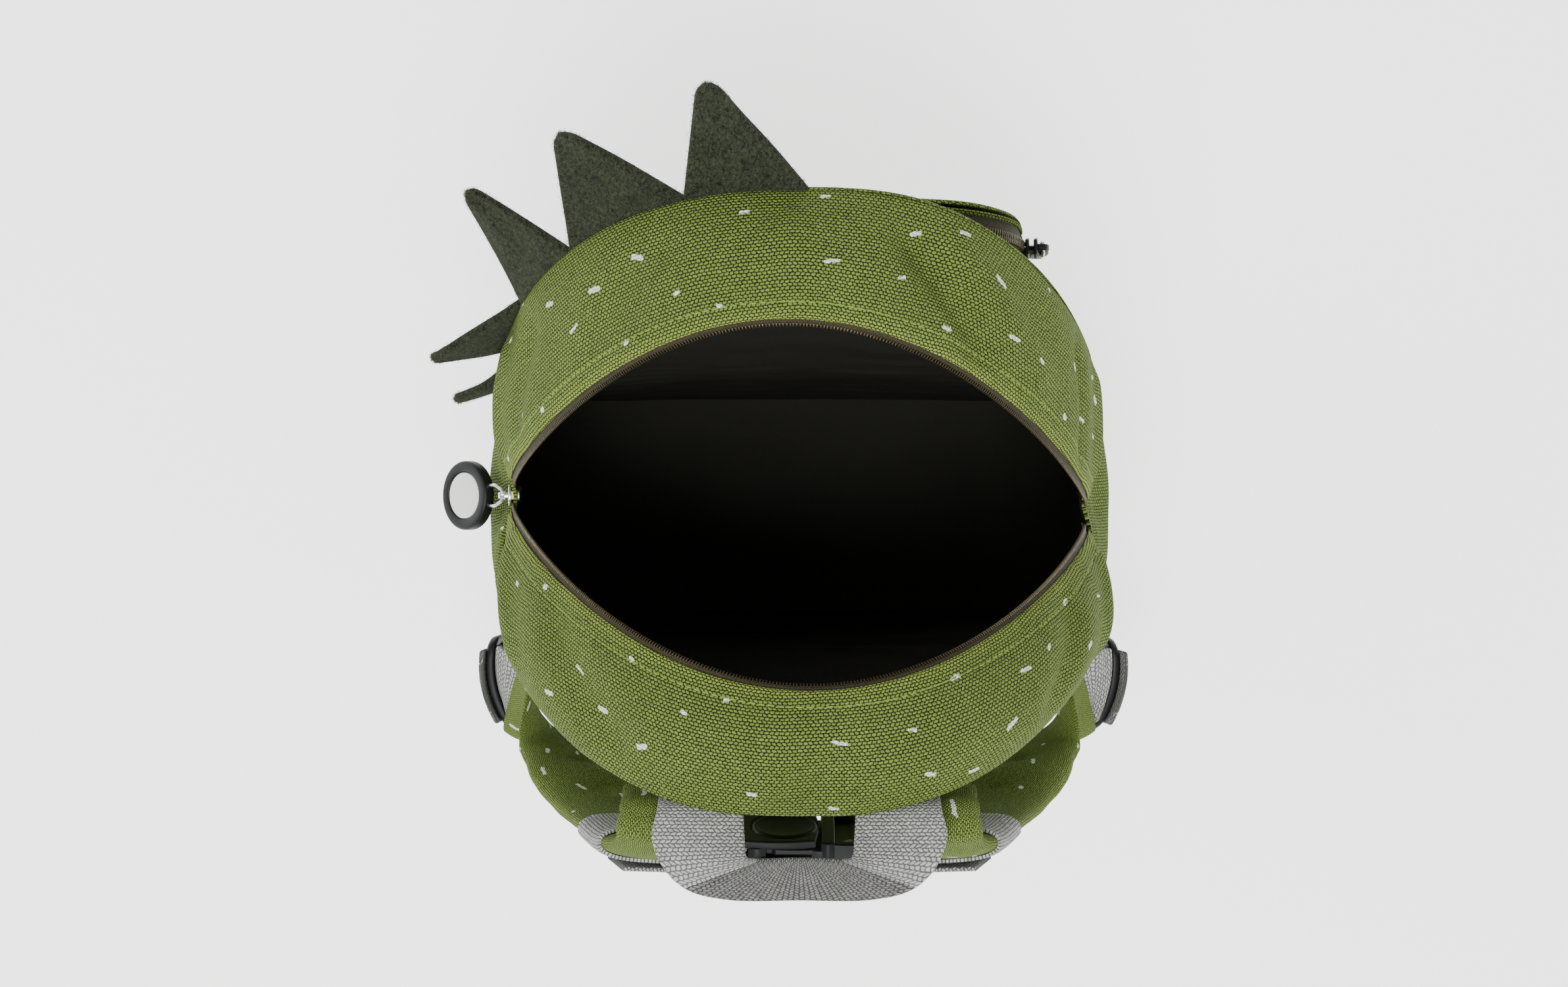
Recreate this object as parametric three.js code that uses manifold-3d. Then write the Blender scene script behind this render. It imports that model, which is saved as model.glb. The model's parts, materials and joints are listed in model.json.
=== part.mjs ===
import * as THREE from "three";
import { mergeVertices } from "three/addons/utils/BufferGeometryUtils.js";
import Module from "manifold-3d";

// A small child's canvas backpack standing on its base with the main zip fully open.
// Millimetres, +Z up. The wearer's back is towards +Y, the pocket and the spikes towards -Y.
// The origin is the centre of the base, on the surface that the bag stands on.

// Body
const HALF_WIDTH = 113;
const SEAM_TOP = 290;
const SHOULDER_HEIGHT = 120;
const CORNER_RADIUS = 38;
const ARCH_POWER = 2.5;
const BASE_DEPTH = 96;
const FRONT_LEAN = 59;
const BACK_LEAN = 53;
const LEAN_POWER_SPIKE_SIDE = 1.5;
const LEAN_POWER_POCKET_SIDE = 2.2;
const LEAN_POWER_BACK = 2.3;
const PANEL_CROWN = 9;
const CROWN_POWER = 4;

// Mouth and gussets
const ZIP_END_HEIGHT = 140;
const MOUTH_HALF_DEPTH = 62;
const MOUTH_HALF_LENGTH = 112;
const MOUTH_RISE = 3;
const MOUTH_SKEW = 3.6;
const MOUTH_POWER = 0.95;
const LIP_HALF_GAP = 5.2;
const ZIP_GUSSET_CLOTH = 49;
const LEAST_SLACK = 0.6;
const SIDE_PUFF = 9;
const LOBE_LENGTH = 18;

// Walls and clearances
const CLOTH = 1.8;
const BACK_PADDING = 4;
const LINING = 1;
const TAPE = 0.8;
const FELT = 3;
const GAP = 0.3;
const POCKET_SEAT = 1;
const SEAM_SETBACK = 2.3;
const LOWER_SETBACK = 0.8;
const SEAM_GAP = 0.8;
const LINING_INSET = 5;
const LINING_SETBACK = 16;

// Zips
const TAPE_WIDTH_SHARE = 0.2;
const TEETH_WIDTH = 2.8;
const TEETH_HEIGHT = 3.2;
const TEETH_SET_OUT = 1.3;
const SLIDER_LENGTH = 10;
const SLIDER_WIDTH = 8;
const SLIDER_THICKNESS = 4.5;
const CROWN_WIDTH = 2.4;
const CROWN_HEIGHT = 4.4;
const CROWN_HOLE = 2.6;

// Main puller
const WIRE = 1.5;
const BAIL_LENGTH = 8;
const BAIL_WIDTH = 7.6;
const BAIL_NECK = 5.2;
const RING_LENGTH = 9.4;
const RING_WIDTH = 5.2;
const DISC_RADIUS = 13.5;
const DISC_THICKNESS = 5;
const FACE_RADIUS = 9;
const FACE_THICKNESS = 1.2;
const PULLER_DROP_DEG = 45;

// Front pocket
const POCKET_HALF_WIDTH = 84;
const POCKET_FOOT = 22;
const POCKET_TOP = 212;
const POCKET_SHOULDER = 165;
const POCKET_CORNER = 26;
const POCKET_FACE_FOOT = 84;
const POCKET_FACE_TOP = 111;
const POCKET_CROWN = 5;
const POCKET_ZIP_WIDTH = 11;
const POCKET_FORE_STRIP = 7;
const POCKET_ZIP_HEIGHT = 168;
const POCKET_RIDGE = 1.4;
const PULL_TAB_LENGTH = 26;
const PULL_TAB_WIDTH = 7;
const PULL_TAB_THICKNESS = 2.4;

// Felt spikes
const SPIKE_HEIGHT = 46;
const SPIKE_TIP_WIDTH = 7;

// Webbing, straps and handle
const WEBBING = 30;
const WEBBING_THICKNESS = 1.6;
const CHEST_WEBBING = 24;
const STRAP_WIDTH = 46;
const STRAP_THICKNESS = 9;
const STRAP_REACH = 128;
const HANDLE_SPREAD = 33;
const HANDLE_REACH = 127;
const HANDLE_TILT = 0.6;
const ADJUSTER_WIDTH = 38;
const ADJUSTER_HEIGHT = 34;
const ADJUSTER_BAR = 4;
const ADJUSTER_SLOT_SHARE = 0.4;
const TAIL_LENGTH = 55;
const BUCKLE_WIDTH = 32;
const BUCKLE_THICKNESS = 9;
const BUCKLE_TILT_DEG = 15;
const BUCKLE_SOCKET = 26;
const BUCKLE_PLUG = 14;

// Facets
const PANEL_SPOKES = 36;
const PANEL_RINGS = 4;
const LINING_SPOKES = 24;
const STRIP_STATIONS = 24;
const STRIP_COLUMNS = 4;
const LOWER_STATIONS = 34;
const LOWER_COLUMNS = 6;
const POCKET_STATIONS = 16;
const RIBBON_STATIONS = 16;
const STRAP_STATIONS = 17;
const DISC_SIDES = 20;
const NORMAL_STEP = 0.004;

// Colours and finishes
const FINISHES = {
  canvas: { color: 0x7c9a3a, roughness: 0.95, metalness: 0 },
  lining: { color: 0x12120f, roughness: 0.9, metalness: 0 },
  tape: { color: 0x2d2614, roughness: 0.85, metalness: 0 },
  teeth: { color: 0x7d7768, roughness: 0.35, metalness: 1 },
  metal: { color: 0xb9bbbd, roughness: 0.25, metalness: 1 },
  felt: { color: 0x33382a, roughness: 1, metalness: 0 },
  webbing: { color: 0x9b9c9a, roughness: 0.95, metalness: 0 },
  plastic: { color: 0x17181a, roughness: 0.5, metalness: 0 },
  face: { color: 0xdfe2da, roughness: 0.4, metalness: 0 },
};

const FRONT = -1;
const BACK = 1;
const UP = new THREE.Vector3(0, 0, 1);
const bag = new THREE.Group();

const vec = (x, y, z) => new THREE.Vector3(x, y, z);
const lerp = THREE.MathUtils.lerp;
const clamp = THREE.MathUtils.clamp;
const radians = THREE.MathUtils.degToRad;
const smooth = (value) => THREE.MathUtils.smoothstep(value, 0, 1);
const steps = (count, from, to) => Array.from({ length: count + 1 }, (_, i) => lerp(from, to, i / count));

// Closed solids from lists of points and faces

function closedGeometry(points, faces) {
  let volume = 0;
  const side = vec(0, 0, 0);
  for (const [a, b, c] of faces) volume += side.copy(points[a]).cross(points[b]).dot(points[c]);
  const turned = volume < 0 ? faces.map(([a, b, c]) => [a, c, b]) : faces;
  const geometry = new THREE.BufferGeometry().setFromPoints(points);
  geometry.setIndex(turned.flat());
  geometry.computeVertexNormals();
  return geometry;
}

function gridNormals(grid) {
  const rows = grid.length;
  const columns = grid[0].length;
  return grid.map((row, i) => row.map((_, j) => {
    const along = grid[Math.min(i + 1, rows - 1)][j].clone().sub(grid[Math.max(i - 1, 0)][j]);
    const across = row[Math.min(j + 1, columns - 1)].clone().sub(row[Math.max(j - 1, 0)]);
    return along.cross(across).normalize();
  }));
}

// Moves a grid of points along its own normals; a positive depth goes below the outer face
function sunk(grid, depth, face) {
  const normals = gridNormals(grid);
  return grid.map((row, i) => row.map((point, j) => point.clone().addScaledVector(normals[i][j], -face * depth)));
}

function bridge(faces, a, b, c, d) {
  faces.push([a, b, c], [a, c, d]);
}

// A sheet with a wall: the grid is its outer face, and face is 1 or -1 for the grid's outer side
function sheetWall(grid, thickness, face) {
  const inner = sunk(grid, thickness, face);
  const rows = grid.length;
  const columns = grid[0].length;
  const points = [...grid.flat(), ...inner.flat()];
  const top = (i, j) => i * columns + j;
  const low = (i, j) => rows * columns + top(i, j);
  const faces = [];
  for (let i = 0; i < rows - 1; i += 1) {
    for (let j = 0; j < columns - 1; j += 1) {
      bridge(faces, top(i, j), top(i, j + 1), top(i + 1, j + 1), top(i + 1, j));
      bridge(faces, low(i, j), low(i + 1, j), low(i + 1, j + 1), low(i, j + 1));
    }
    bridge(faces, top(i, 0), top(i + 1, 0), low(i + 1, 0), low(i, 0));
    bridge(faces, top(i, columns - 1), low(i, columns - 1), low(i + 1, columns - 1), top(i + 1, columns - 1));
  }
  for (let j = 0; j < columns - 1; j += 1) {
    bridge(faces, top(0, j), low(0, j), low(0, j + 1), top(0, j + 1));
    bridge(faces, top(rows - 1, j), top(rows - 1, j + 1), low(rows - 1, j + 1), low(rows - 1, j));
  }
  return closedGeometry(points, faces);
}

// A dish spread inside an outline in X and Z, with a depth in Y for its inner and its outer face
function dishWall(outline, centreHeight, depthOf, thickness, side) {
  const rim = outline.length;
  const flat = [new THREE.Vector2(0, centreHeight)];
  for (let ring = 1; ring <= PANEL_RINGS; ring += 1) {
    const share = 1 - (1 - ring / PANEL_RINGS) ** 1.3;
    outline.forEach((corner) => flat.push(flat[0].clone().lerp(corner, share)));
  }
  const inner = flat.map((spot) => vec(spot.x, side * depthOf(spot.x, spot.y), spot.y));
  const outer = inner.map((spot) => spot.clone().add(vec(0, side * thickness, 0)));
  const points = [...outer, ...inner];
  const low = inner.length;
  const at = (ring, spoke) => 1 + (ring - 1) * rim + (spoke % rim);
  const faces = [];
  for (let spoke = 0; spoke < rim; spoke += 1) {
    faces.push([0, at(1, spoke), at(1, spoke + 1)], [low, low + at(1, spoke + 1), low + at(1, spoke)]);
    for (let ring = 1; ring < PANEL_RINGS; ring += 1) {
      const [a, b, c, d] = [at(ring, spoke), at(ring + 1, spoke), at(ring + 1, spoke + 1), at(ring, spoke + 1)];
      bridge(faces, a, b, c, d);
      bridge(faces, low + a, low + d, low + c, low + b);
    }
    const [near, far] = [at(PANEL_RINGS, spoke), at(PANEL_RINGS, spoke + 1)];
    bridge(faces, near, low + near, low + far, far);
  }
  return closedGeometry(points, faces);
}

// A bar swept through frames, each with a place, a width direction and a thickness direction
function sweep(frames, sectionOf, ring = false) {
  const points = [];
  let corners = 0;
  frames.forEach((frame, i) => {
    const section = sectionOf(frame, i / (frames.length - 1));
    corners = section.length;
    section.forEach(([a, b]) => {
      points.push(frame.place.clone().addScaledVector(frame.wide, a).addScaledVector(frame.thick, b));
    });
  });
  const count = frames.length;
  const faces = [];
  const at = (i, j) => (i % count) * corners + (j % corners);
  for (let i = 0; i < (ring ? count : count - 1); i += 1) {
    for (let j = 0; j < corners; j += 1) bridge(faces, at(i, j), at(i, j + 1), at(i + 1, j + 1), at(i + 1, j));
  }
  if (!ring) {
    for (let j = 1; j < corners - 1; j += 1) {
      faces.push([at(0, 0), at(0, j + 1), at(0, j)], [at(count - 1, 0), at(count - 1, j), at(count - 1, j + 1)]);
    }
  }
  return closedGeometry(points, faces);
}

const flatSection = (width, thickness) => [
  [-width / 2, -thickness / 2], [width / 2, -thickness / 2], [width / 2, thickness / 2], [-width / 2, thickness / 2],
];

const roundSection = (radius, sides) => Array.from({ length: sides }, (_, i) => {
  const angle = (i / sides) * Math.PI * 2;
  return [radius * Math.cos(angle), radius * Math.sin(angle)];
});

// A cushion's section: full in the middle and thin at both edges
function padSection(width, thickness) {
  const half = width / 2;
  const [edge, mid] = [thickness * 0.18, thickness / 2];
  return [
    [-half, -edge], [-half * 0.72, -mid], [half * 0.72, -mid], [half, -edge],
    [half, edge], [half * 0.72, mid], [-half * 0.72, mid], [-half, edge],
  ];
}

// Frames along a smooth path through rows of { place, wide }, square to the path
function framesThrough(rows, count) {
  const path = new THREE.CatmullRomCurve3(rows.map((row) => row.place), false, "centripetal");
  const widths = new THREE.CatmullRomCurve3(rows.map((row) => row.wide.clone().normalize()), false, "centripetal");
  return steps(count, 0, 1).map((share) => {
    const tangent = path.getTangent(share);
    const wide = widths.getPoint(share);
    wide.addScaledVector(tangent, -wide.dot(tangent)).normalize();
    return { place: path.getPoint(share), wide, thick: tangent.clone().cross(wide), tangent, share };
  });
}

function addPiece(name, geometry, finish) {
  const mesh = new THREE.Mesh(geometry, new THREE.MeshStandardMaterial(FINISHES[finish]));
  mesh.name = name;
  bag.add(mesh);
  return mesh;
}

// Joins closed solids into one
const wasm = await Module();
wasm.setup();

function toManifold(geometry) {
  const bare = geometry.clone();
  bare.deleteAttribute("normal");
  bare.deleteAttribute("uv");
  const welded = mergeVertices(bare, 1e-4);
  return new wasm.Manifold(new wasm.Mesh({
    numProp: 3,
    vertProperties: new Float32Array(welded.attributes.position.array),
    triVerts: new Uint32Array(welded.index.array),
  }));
}

function fromManifold(body) {
  const mesh = body.getMesh();
  const geometry = new THREE.BufferGeometry();
  geometry.setAttribute("position", new THREE.BufferAttribute(new Float32Array(mesh.vertProperties), 3));
  geometry.setIndex(new THREE.BufferAttribute(new Uint32Array(mesh.triVerts), 1));
  geometry.computeVertexNormals();
  return geometry;
}

const joined = (first, ...rest) => fromManifold(
  rest.reduce((sum, next) => sum.add(toManifold(next)), toManifold(first)),
);

// Outlines in X and Z: an arch over straight sides with round lower corners

class Arch extends THREE.Curve {
  constructor(halfWidth, shoulder, top) {
    super();
    Object.assign(this, { halfWidth, shoulder, rise: top - shoulder });
  }

  getPoint(t, target = new THREE.Vector2()) {
    const angle = (t * Math.PI) / 2;
    return target.set(
      this.halfWidth * Math.sin(angle) ** (2 / ARCH_POWER),
      this.shoulder + this.rise * Math.cos(angle) ** (2 / ARCH_POWER),
    );
  }
}

// The half from the top centre to the foot's centre; a negative share gives the other side
function makeOutline({ halfWidth, top, shoulder, corner, foot }) {
  const half = new THREE.CurvePath();
  half.add(new Arch(halfWidth, shoulder, top));
  half.add(new THREE.LineCurve(new THREE.Vector2(halfWidth, shoulder), new THREE.Vector2(halfWidth, foot + corner)));
  half.add(new THREE.EllipseCurve(halfWidth - corner, foot + corner, corner, corner, 0, -Math.PI / 2, true));
  half.add(new THREE.LineCurve(new THREE.Vector2(halfWidth - corner, foot), new THREE.Vector2(0, foot)));
  const at = (share) => {
    const wrapped = share > 1 ? share - 2 : share;
    const spot = half.getPoint(Math.abs(wrapped));
    return new THREE.Vector2(Math.sign(wrapped) * spot.x, spot.y);
  };
  const outward = (share) => {
    const step = at(share + NORMAL_STEP).sub(at(share - NORMAL_STEP));
    return new THREE.Vector2(-step.y, step.x).normalize();
  };
  const ring = (count, inset) => Array.from({ length: count }, (_, i) => {
    const share = -1 + (2 * (i + 0.5)) / count;
    return at(share).addScaledVector(outward(share), -inset);
  });
  const shareAtHeight = (height) => {
    let [low, high] = [0, 1];
    for (let pass = 0; pass < 40; pass += 1) {
      const middle = (low + high) / 2;
      if (at(middle).y > height) low = middle;
      else high = middle;
    }
    return low;
  };
  const halfWidthAt = (height) => {
    if (height > shoulder) return halfWidth * Math.max(1 - ((height - shoulder) / (top - shoulder)) ** ARCH_POWER, 0) ** (1 / ARCH_POWER);
    const below = Math.max(foot + corner - height, 0);
    return halfWidth - corner + Math.sqrt(Math.max(corner ** 2 - below ** 2, 0));
  };
  return { at, outward, ring, shareAtHeight, halfWidthAt };
}

const body = makeOutline({
  halfWidth: HALF_WIDTH, top: SEAM_TOP, shoulder: SHOULDER_HEIGHT, corner: CORNER_RADIUS, foot: 0,
});
const pocket = makeOutline({
  halfWidth: POCKET_HALF_WIDTH, top: POCKET_TOP, shoulder: POCKET_SHOULDER, corner: POCKET_CORNER, foot: POCKET_FOOT,
});
const ZIP_SHARE = body.shareAtHeight(ZIP_END_HEIGHT);
const PANEL_CENTRE = SEAM_TOP * 0.42;

// How far the seam and the panel stand from the middle plane at a place on the panel

function seamDepth(side, x, z) {
  const rise = Math.max(z - SHOULDER_HEIGHT, 0) / (SEAM_TOP - SHOULDER_HEIGHT);
  const across = clamp((x / HALF_WIDTH + 1) / 2, 0, 1);
  const frontPower = lerp(LEAN_POWER_POCKET_SIDE, LEAN_POWER_SPIKE_SIDE, across);
  return side === FRONT
    ? BASE_DEPTH / 2 + FRONT_LEAN * rise ** frontPower
    : BASE_DEPTH / 2 + BACK_LEAN * rise ** LEAN_POWER_BACK;
}

function crownShare(x, z) {
  const across = 1 - (x / Math.max(body.halfWidthAt(z), 1)) ** 2;
  const middle = SEAM_TOP / 2;
  const upward = 1 - Math.abs((z - middle) / middle) ** CROWN_POWER;
  return Math.max(across, 0) * Math.max(upward, 0);
}

const panelDepth = (side, x, z) => seamDepth(side, x, z) + PANEL_CROWN * crownShare(x, z);
const frontFace = (x, z) => panelDepth(FRONT, x, z) + CLOTH;

function makePanels() {
  const ring = body.ring(PANEL_SPOKES, 0);
  addPiece("front_panel", dishWall(ring, PANEL_CENTRE, (x, z) => panelDepth(FRONT, x, z), CLOTH, FRONT), "canvas");
  addPiece("back_panel", dishWall(ring, PANEL_CENTRE, (x, z) => panelDepth(BACK, x, z), BACK_PADDING, BACK), "canvas");
  const inner = body.ring(LINING_SPOKES, CLOTH * 2 + LINING * 2);
  for (const [name, side] of [["lining_front", FRONT], ["lining_back", BACK]]) {
    const depth = (x, z) => panelDepth(side, x, z) - LINING - GAP * 4;
    addPiece(name, dishWall(inner, PANEL_CENTRE, depth, LINING, side), "lining");
  }
}

// Upper gussets: q runs from -1 at one zip end, over the top, to 1 at the other; v from seam to lip

function lipPoint(side, q) {
  const across = Math.sin((Math.PI / 2) * Math.abs(q) ** MOUTH_POWER);
  const depth = LIP_HALF_GAP + (MOUTH_HALF_DEPTH - LIP_HALF_GAP) * (1 - across ** 2) ** MOUTH_POWER;
  const seam = body.at(q * ZIP_SHARE);
  const x = Math.sign(q) * across * MOUTH_HALF_LENGTH;
  const skew = (-MOUTH_SKEW * x) / MOUTH_HALF_LENGTH;
  return vec(x, side * depth + skew, seam.y + MOUTH_RISE * (1 - Math.abs(q)));
}

// How high a strip of cloth stands over a gap that is narrower than the strip
const bellyOver = (chord) => Math.sqrt(0.375 * chord * Math.max(ZIP_GUSSET_CLOTH - chord, LEAST_SLACK));

function gussetPoint(side, q, v) {
  const share = q * ZIP_SHARE;
  const spot = body.at(share);
  const outward = body.outward(share);
  const seam = vec(spot.x, side * (seamDepth(side, spot.x, spot.y) - SEAM_SETBACK), spot.y);
  const lip = lipPoint(side, q);
  const belly = bellyOver(seam.distanceTo(lip)) * 4 * v * (1 - v);
  return seam.lerp(lip, v).add(vec(outward.x * belly, 0, outward.y * belly));
}

function gussetGrid(side, qFrom, qTo, vFrom, vTo, columns = STRIP_COLUMNS) {
  return steps(STRIP_STATIONS, qFrom, qTo).map((q) => (
    steps(columns, vFrom, vTo).map((v) => gussetPoint(side, q, v))));
}

// Frames along the lip, with wide pointing into the mouth and thick pointing outwards
function lipFrames(side, qFrom, qTo) {
  return steps(STRIP_STATIONS, qFrom, qTo).map((q) => {
    const place = gussetPoint(side, q, 1);
    const wide = place.clone().sub(gussetPoint(side, q, 0.92)).normalize();
    const along = gussetPoint(side, q + NORMAL_STEP, 1).sub(gussetPoint(side, q - NORMAL_STEP, 1)).normalize();
    const outward = body.outward(q * ZIP_SHARE);
    const thick = along.cross(wide).normalize();
    if (thick.dot(vec(outward.x, 0, outward.y)) < 0) thick.negate();
    return { place, wide, thick };
  });
}

const Q_SLIDER = body.shareAtHeight(ZIP_END_HEIGHT + SLIDER_LENGTH * 1.7) / ZIP_SHARE;

function makeZipGussets() {
  const tapeDepth = CLOTH + GAP * 2;
  const liningDepth = tapeDepth + TAPE + GAP * 2;
  for (const [label, side] of [["front", FRONT], ["back", BACK]]) {
    const face = -side;
    addPiece(`zip_gusset_${label}`, sheetWall(gussetGrid(side, -1, 1, 0, 1), CLOTH, face), "canvas");
    const tape = sunk(gussetGrid(side, -0.985, 0.985, 1 - TAPE_WIDTH_SHARE, 1.008, 1), tapeDepth, face);
    addPiece(`main_zip_tape_${label}`, sheetWall(tape, TAPE, face), "tape");
    const teeth = sweep(lipFrames(side, -0.975, Q_SLIDER), () => flatSection(TEETH_WIDTH, TEETH_HEIGHT)
      .map(([a, b]) => [a + TEETH_SET_OUT + TEETH_WIDTH / 2, b - CLOTH - GAP - TAPE / 2]));
    addPiece(`main_zip_teeth_${label}`, teeth, "teeth");
    const inner = sunk(gussetGrid(side, -0.975, 0.975, 0.24, 0.985, 3), liningDepth, face);
    addPiece(`lining_zip_${label}`, sheetWall(inner, LINING, face), "lining");
  }
}

// Lower gusset: t runs from the +X zip end down, under the base and up to the other zip end

const PUFF_TABLE = [
  { height: 1, puff: 1 },
  { height: 0.75, puff: 1 },
  { height: 0.4, puff: 0.72 },
  { height: 0.2, puff: 0.35 },
  { height: 0.06, puff: 0 },
  { height: 0, puff: 0 },
];

function puffAt(height) {
  const share = clamp(height / ZIP_END_HEIGHT, 0, 1);
  const next = PUFF_TABLE.findIndex((row) => row.height <= share);
  if (next <= 0) return PUFF_TABLE[0].puff;
  const [above, below] = [PUFF_TABLE[next - 1], PUFF_TABLE[next]];
  return lerp(below.puff, above.puff, (share - below.height) / (above.height - below.height));
}

const lowerShare = (t) => ZIP_SHARE + t * 2 * (1 - ZIP_SHARE);
const LOBE = bellyOver(BASE_DEPTH / 2 - LIP_HALF_GAP);

function lowerPoint(t, v) {
  const share = lowerShare(t);
  const spot = body.at(share);
  const outward = body.outward(share > 1 ? share - 2 : share);
  const from = -(seamDepth(FRONT, spot.x, spot.y) - LOWER_SETBACK);
  const to = seamDepth(BACK, spot.x, spot.y) - LOWER_SETBACK;
  const full = 1 - Math.abs(2 * v - 1) ** 2.5;
  const lobe = Math.abs(2 * v - 1);
  const settled = smooth((ZIP_END_HEIGHT - spot.y) / LOBE_LENGTH);
  const puff = lerp(LOBE * 4 * lobe * (1 - lobe), SIDE_PUFF * full, settled) * puffAt(spot.y);
  return vec(spot.x + outward.x * puff, lerp(from, to, v), spot.y + outward.y * puff);
}

function makeLowerGusset() {
  const ends = SEAM_GAP / SEAM_TOP;
  const strip = (from, edge, stations, columns) => steps(stations, from, 1 - from).map((t) => (
    steps(columns, edge, 1 - edge).map((v) => lowerPoint(t, v))));
  addPiece("lower_gusset", sheetWall(strip(ends, 0, LOWER_STATIONS, LOWER_COLUMNS), CLOTH, 1), "canvas");
  const inner = strip(LINING_SETBACK / SEAM_TOP, LINING_INSET / BASE_DEPTH, LINING_SPOKES, STRIP_COLUMNS);
  addPiece("lining_lower", sheetWall(sunk(inner, CLOTH + GAP * 4, 1), LINING, 1), "lining");
}

// Sliders: a plate with a raised bridge whose hole takes a link; x is outwards, z along the zip

function sliderGeometry() {
  const [half, width] = [SLIDER_LENGTH / 2, SLIDER_WIDTH / 2];
  const plate = new THREE.Shape();
  plate.moveTo(-width * 0.7, -half);
  plate.lineTo(width * 0.7, -half);
  plate.quadraticCurveTo(width, 0, width, half * 0.6);
  plate.lineTo(width * 0.6, half);
  plate.lineTo(-width * 0.6, half);
  plate.lineTo(-width, half * 0.6);
  plate.quadraticCurveTo(-width, 0, -width * 0.7, -half);
  const flat = new THREE.ExtrudeGeometry(plate, { depth: SLIDER_THICKNESS, bevelEnabled: false, curveSegments: 4 });
  const foot = half * 0.8;
  const arch = new THREE.Shape();
  arch.moveTo(-foot, -GAP);
  arch.lineTo(foot, -GAP);
  arch.lineTo(foot * 0.7, CROWN_HEIGHT);
  arch.lineTo(-foot * 0.7, CROWN_HEIGHT);
  arch.closePath();
  const hole = new THREE.Path();
  hole.absarc(0, CROWN_HEIGHT * 0.48, CROWN_HOLE / 2, 0, Math.PI * 2, true);
  arch.holes.push(hole);
  const crown = new THREE.ExtrudeGeometry(arch, { depth: CROWN_WIDTH, bevelEnabled: false, curveSegments: 6 });
  crown.translate(0, 0, -CROWN_WIDTH / 2);
  crown.rotateX(Math.PI / 2);
  crown.rotateZ(Math.PI / 2);
  crown.translate(0, 0, SLIDER_THICKNESS);
  const both = joined(flat, crown);
  both.translate(0, 0, -SLIDER_THICKNESS);
  return both;
}

const SLIDER_SPOT = vec(MOUTH_HALF_LENGTH, -MOUTH_SKEW, ZIP_END_HEIGHT + SLIDER_LENGTH * 0.75);
const PULLER_PIVOT = SLIDER_SPOT.clone().add(vec(CROWN_HEIGHT * 0.48, 0, 0));

// A wire ring with straight sides, closed on itself, lying in the plane of along and wide
function wireLoop(length, width, radius) {
  const round = width / 2;
  return new Array(16).fill(0).map((_, i) => {
    const angle = (i / 16) * Math.PI * 2;
    const end = Math.cos(angle) >= 0 ? length - round : round;
    return { along: end + round * Math.cos(angle), across: round * Math.sin(angle), angle };
  }).map(({ along, across, angle }) => ({
    place: vec(along, across, 0), wide: vec(Math.cos(angle), Math.sin(angle), 0), thick: vec(0, 0, 1), radius,
  }));
}

// Puller pieces are drawn with x away from the pivot and z out of the disc's face
function hangPuller(mesh) {
  mesh.position.copy(PULLER_PIVOT);
  mesh.rotation.set(0, radians(PULLER_DROP_DEG), 0);
}

function makeMainPuller() {
  const slider = sliderGeometry();
  slider.rotateY(Math.PI / 2);
  slider.rotateX(Math.PI / 2);
  addPiece("main_slider", slider, "metal").position.copy(SLIDER_SPOT);

  const neck = BAIL_NECK / 2;
  const bend = steps(8, Math.PI / 2, Math.PI * 1.5).map((angle) => ({
    place: vec(neck + neck * Math.cos(angle), neck * Math.sin(angle), 0),
    wide: vec(Math.cos(angle), Math.sin(angle), 0),
    thick: UP,
  }));
  const reach = BAIL_LENGTH;
  const leg = (side) => [0.45, 1].map((share) => ({
    place: vec(lerp(neck, reach, share), (side * BAIL_WIDTH) / 2, 0), wide: vec(0, side, 0), thick: UP,
  }));
  const frames = [...leg(1).reverse(), ...bend, ...leg(-1)];
  const bail = sweep(frames, () => roundSection(WIRE / 2, 6));
  hangPuller(addPiece("main_puller_bail", bail, "metal"));

  const centre = reach + GAP + DISC_RADIUS;
  const edge = DISC_THICKNESS / 2;
  const cup = [
    [0, -edge], [DISC_RADIUS * 0.9, -edge], [DISC_RADIUS, -edge * 0.5], [DISC_RADIUS, edge * 0.5],
    [DISC_RADIUS * 0.93, edge], [FACE_RADIUS + GAP, edge], [FACE_RADIUS + GAP, edge - FACE_THICKNESS - GAP],
    [0, edge - FACE_THICKNESS - GAP],
  ].map(([x, y]) => new THREE.Vector2(x, y));
  const disc = new THREE.LatheGeometry(cup, DISC_SIDES).rotateX(Math.PI / 2).translate(centre, 0, 0);
  hangPuller(addPiece("main_puller_disc", disc, "plastic"));
  const inlay = new THREE.CylinderGeometry(FACE_RADIUS, FACE_RADIUS, FACE_THICKNESS, DISC_SIDES).rotateX(Math.PI / 2);
  inlay.translate(centre, 0, edge - FACE_THICKNESS / 2);
  hangPuller(addPiece("main_puller_face", inlay, "face"));
}

// Front pocket: its back edge follows the front panel and its face stands forward of it

const POCKET_SHARE = pocket.shareAtHeight(POCKET_ZIP_HEIGHT);

function pocketFace(z) {
  const share = clamp((z - POCKET_FOOT) / (POCKET_TOP - POCKET_FOOT), 0, 1);
  return lerp(POCKET_FACE_FOOT, POCKET_FACE_TOP, share);
}

function pocketDepth(x, z) {
  const across = 1 - (x / Math.max(pocket.halfWidthAt(z), 1)) ** 2;
  const middle = (POCKET_TOP + POCKET_FOOT) / 2;
  const upward = 1 - Math.abs((z - middle) / (POCKET_TOP - middle)) ** CROWN_POWER;
  return pocketFace(z) + POCKET_CROWN * Math.max(across, 0) * Math.max(upward, 0);
}

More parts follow.
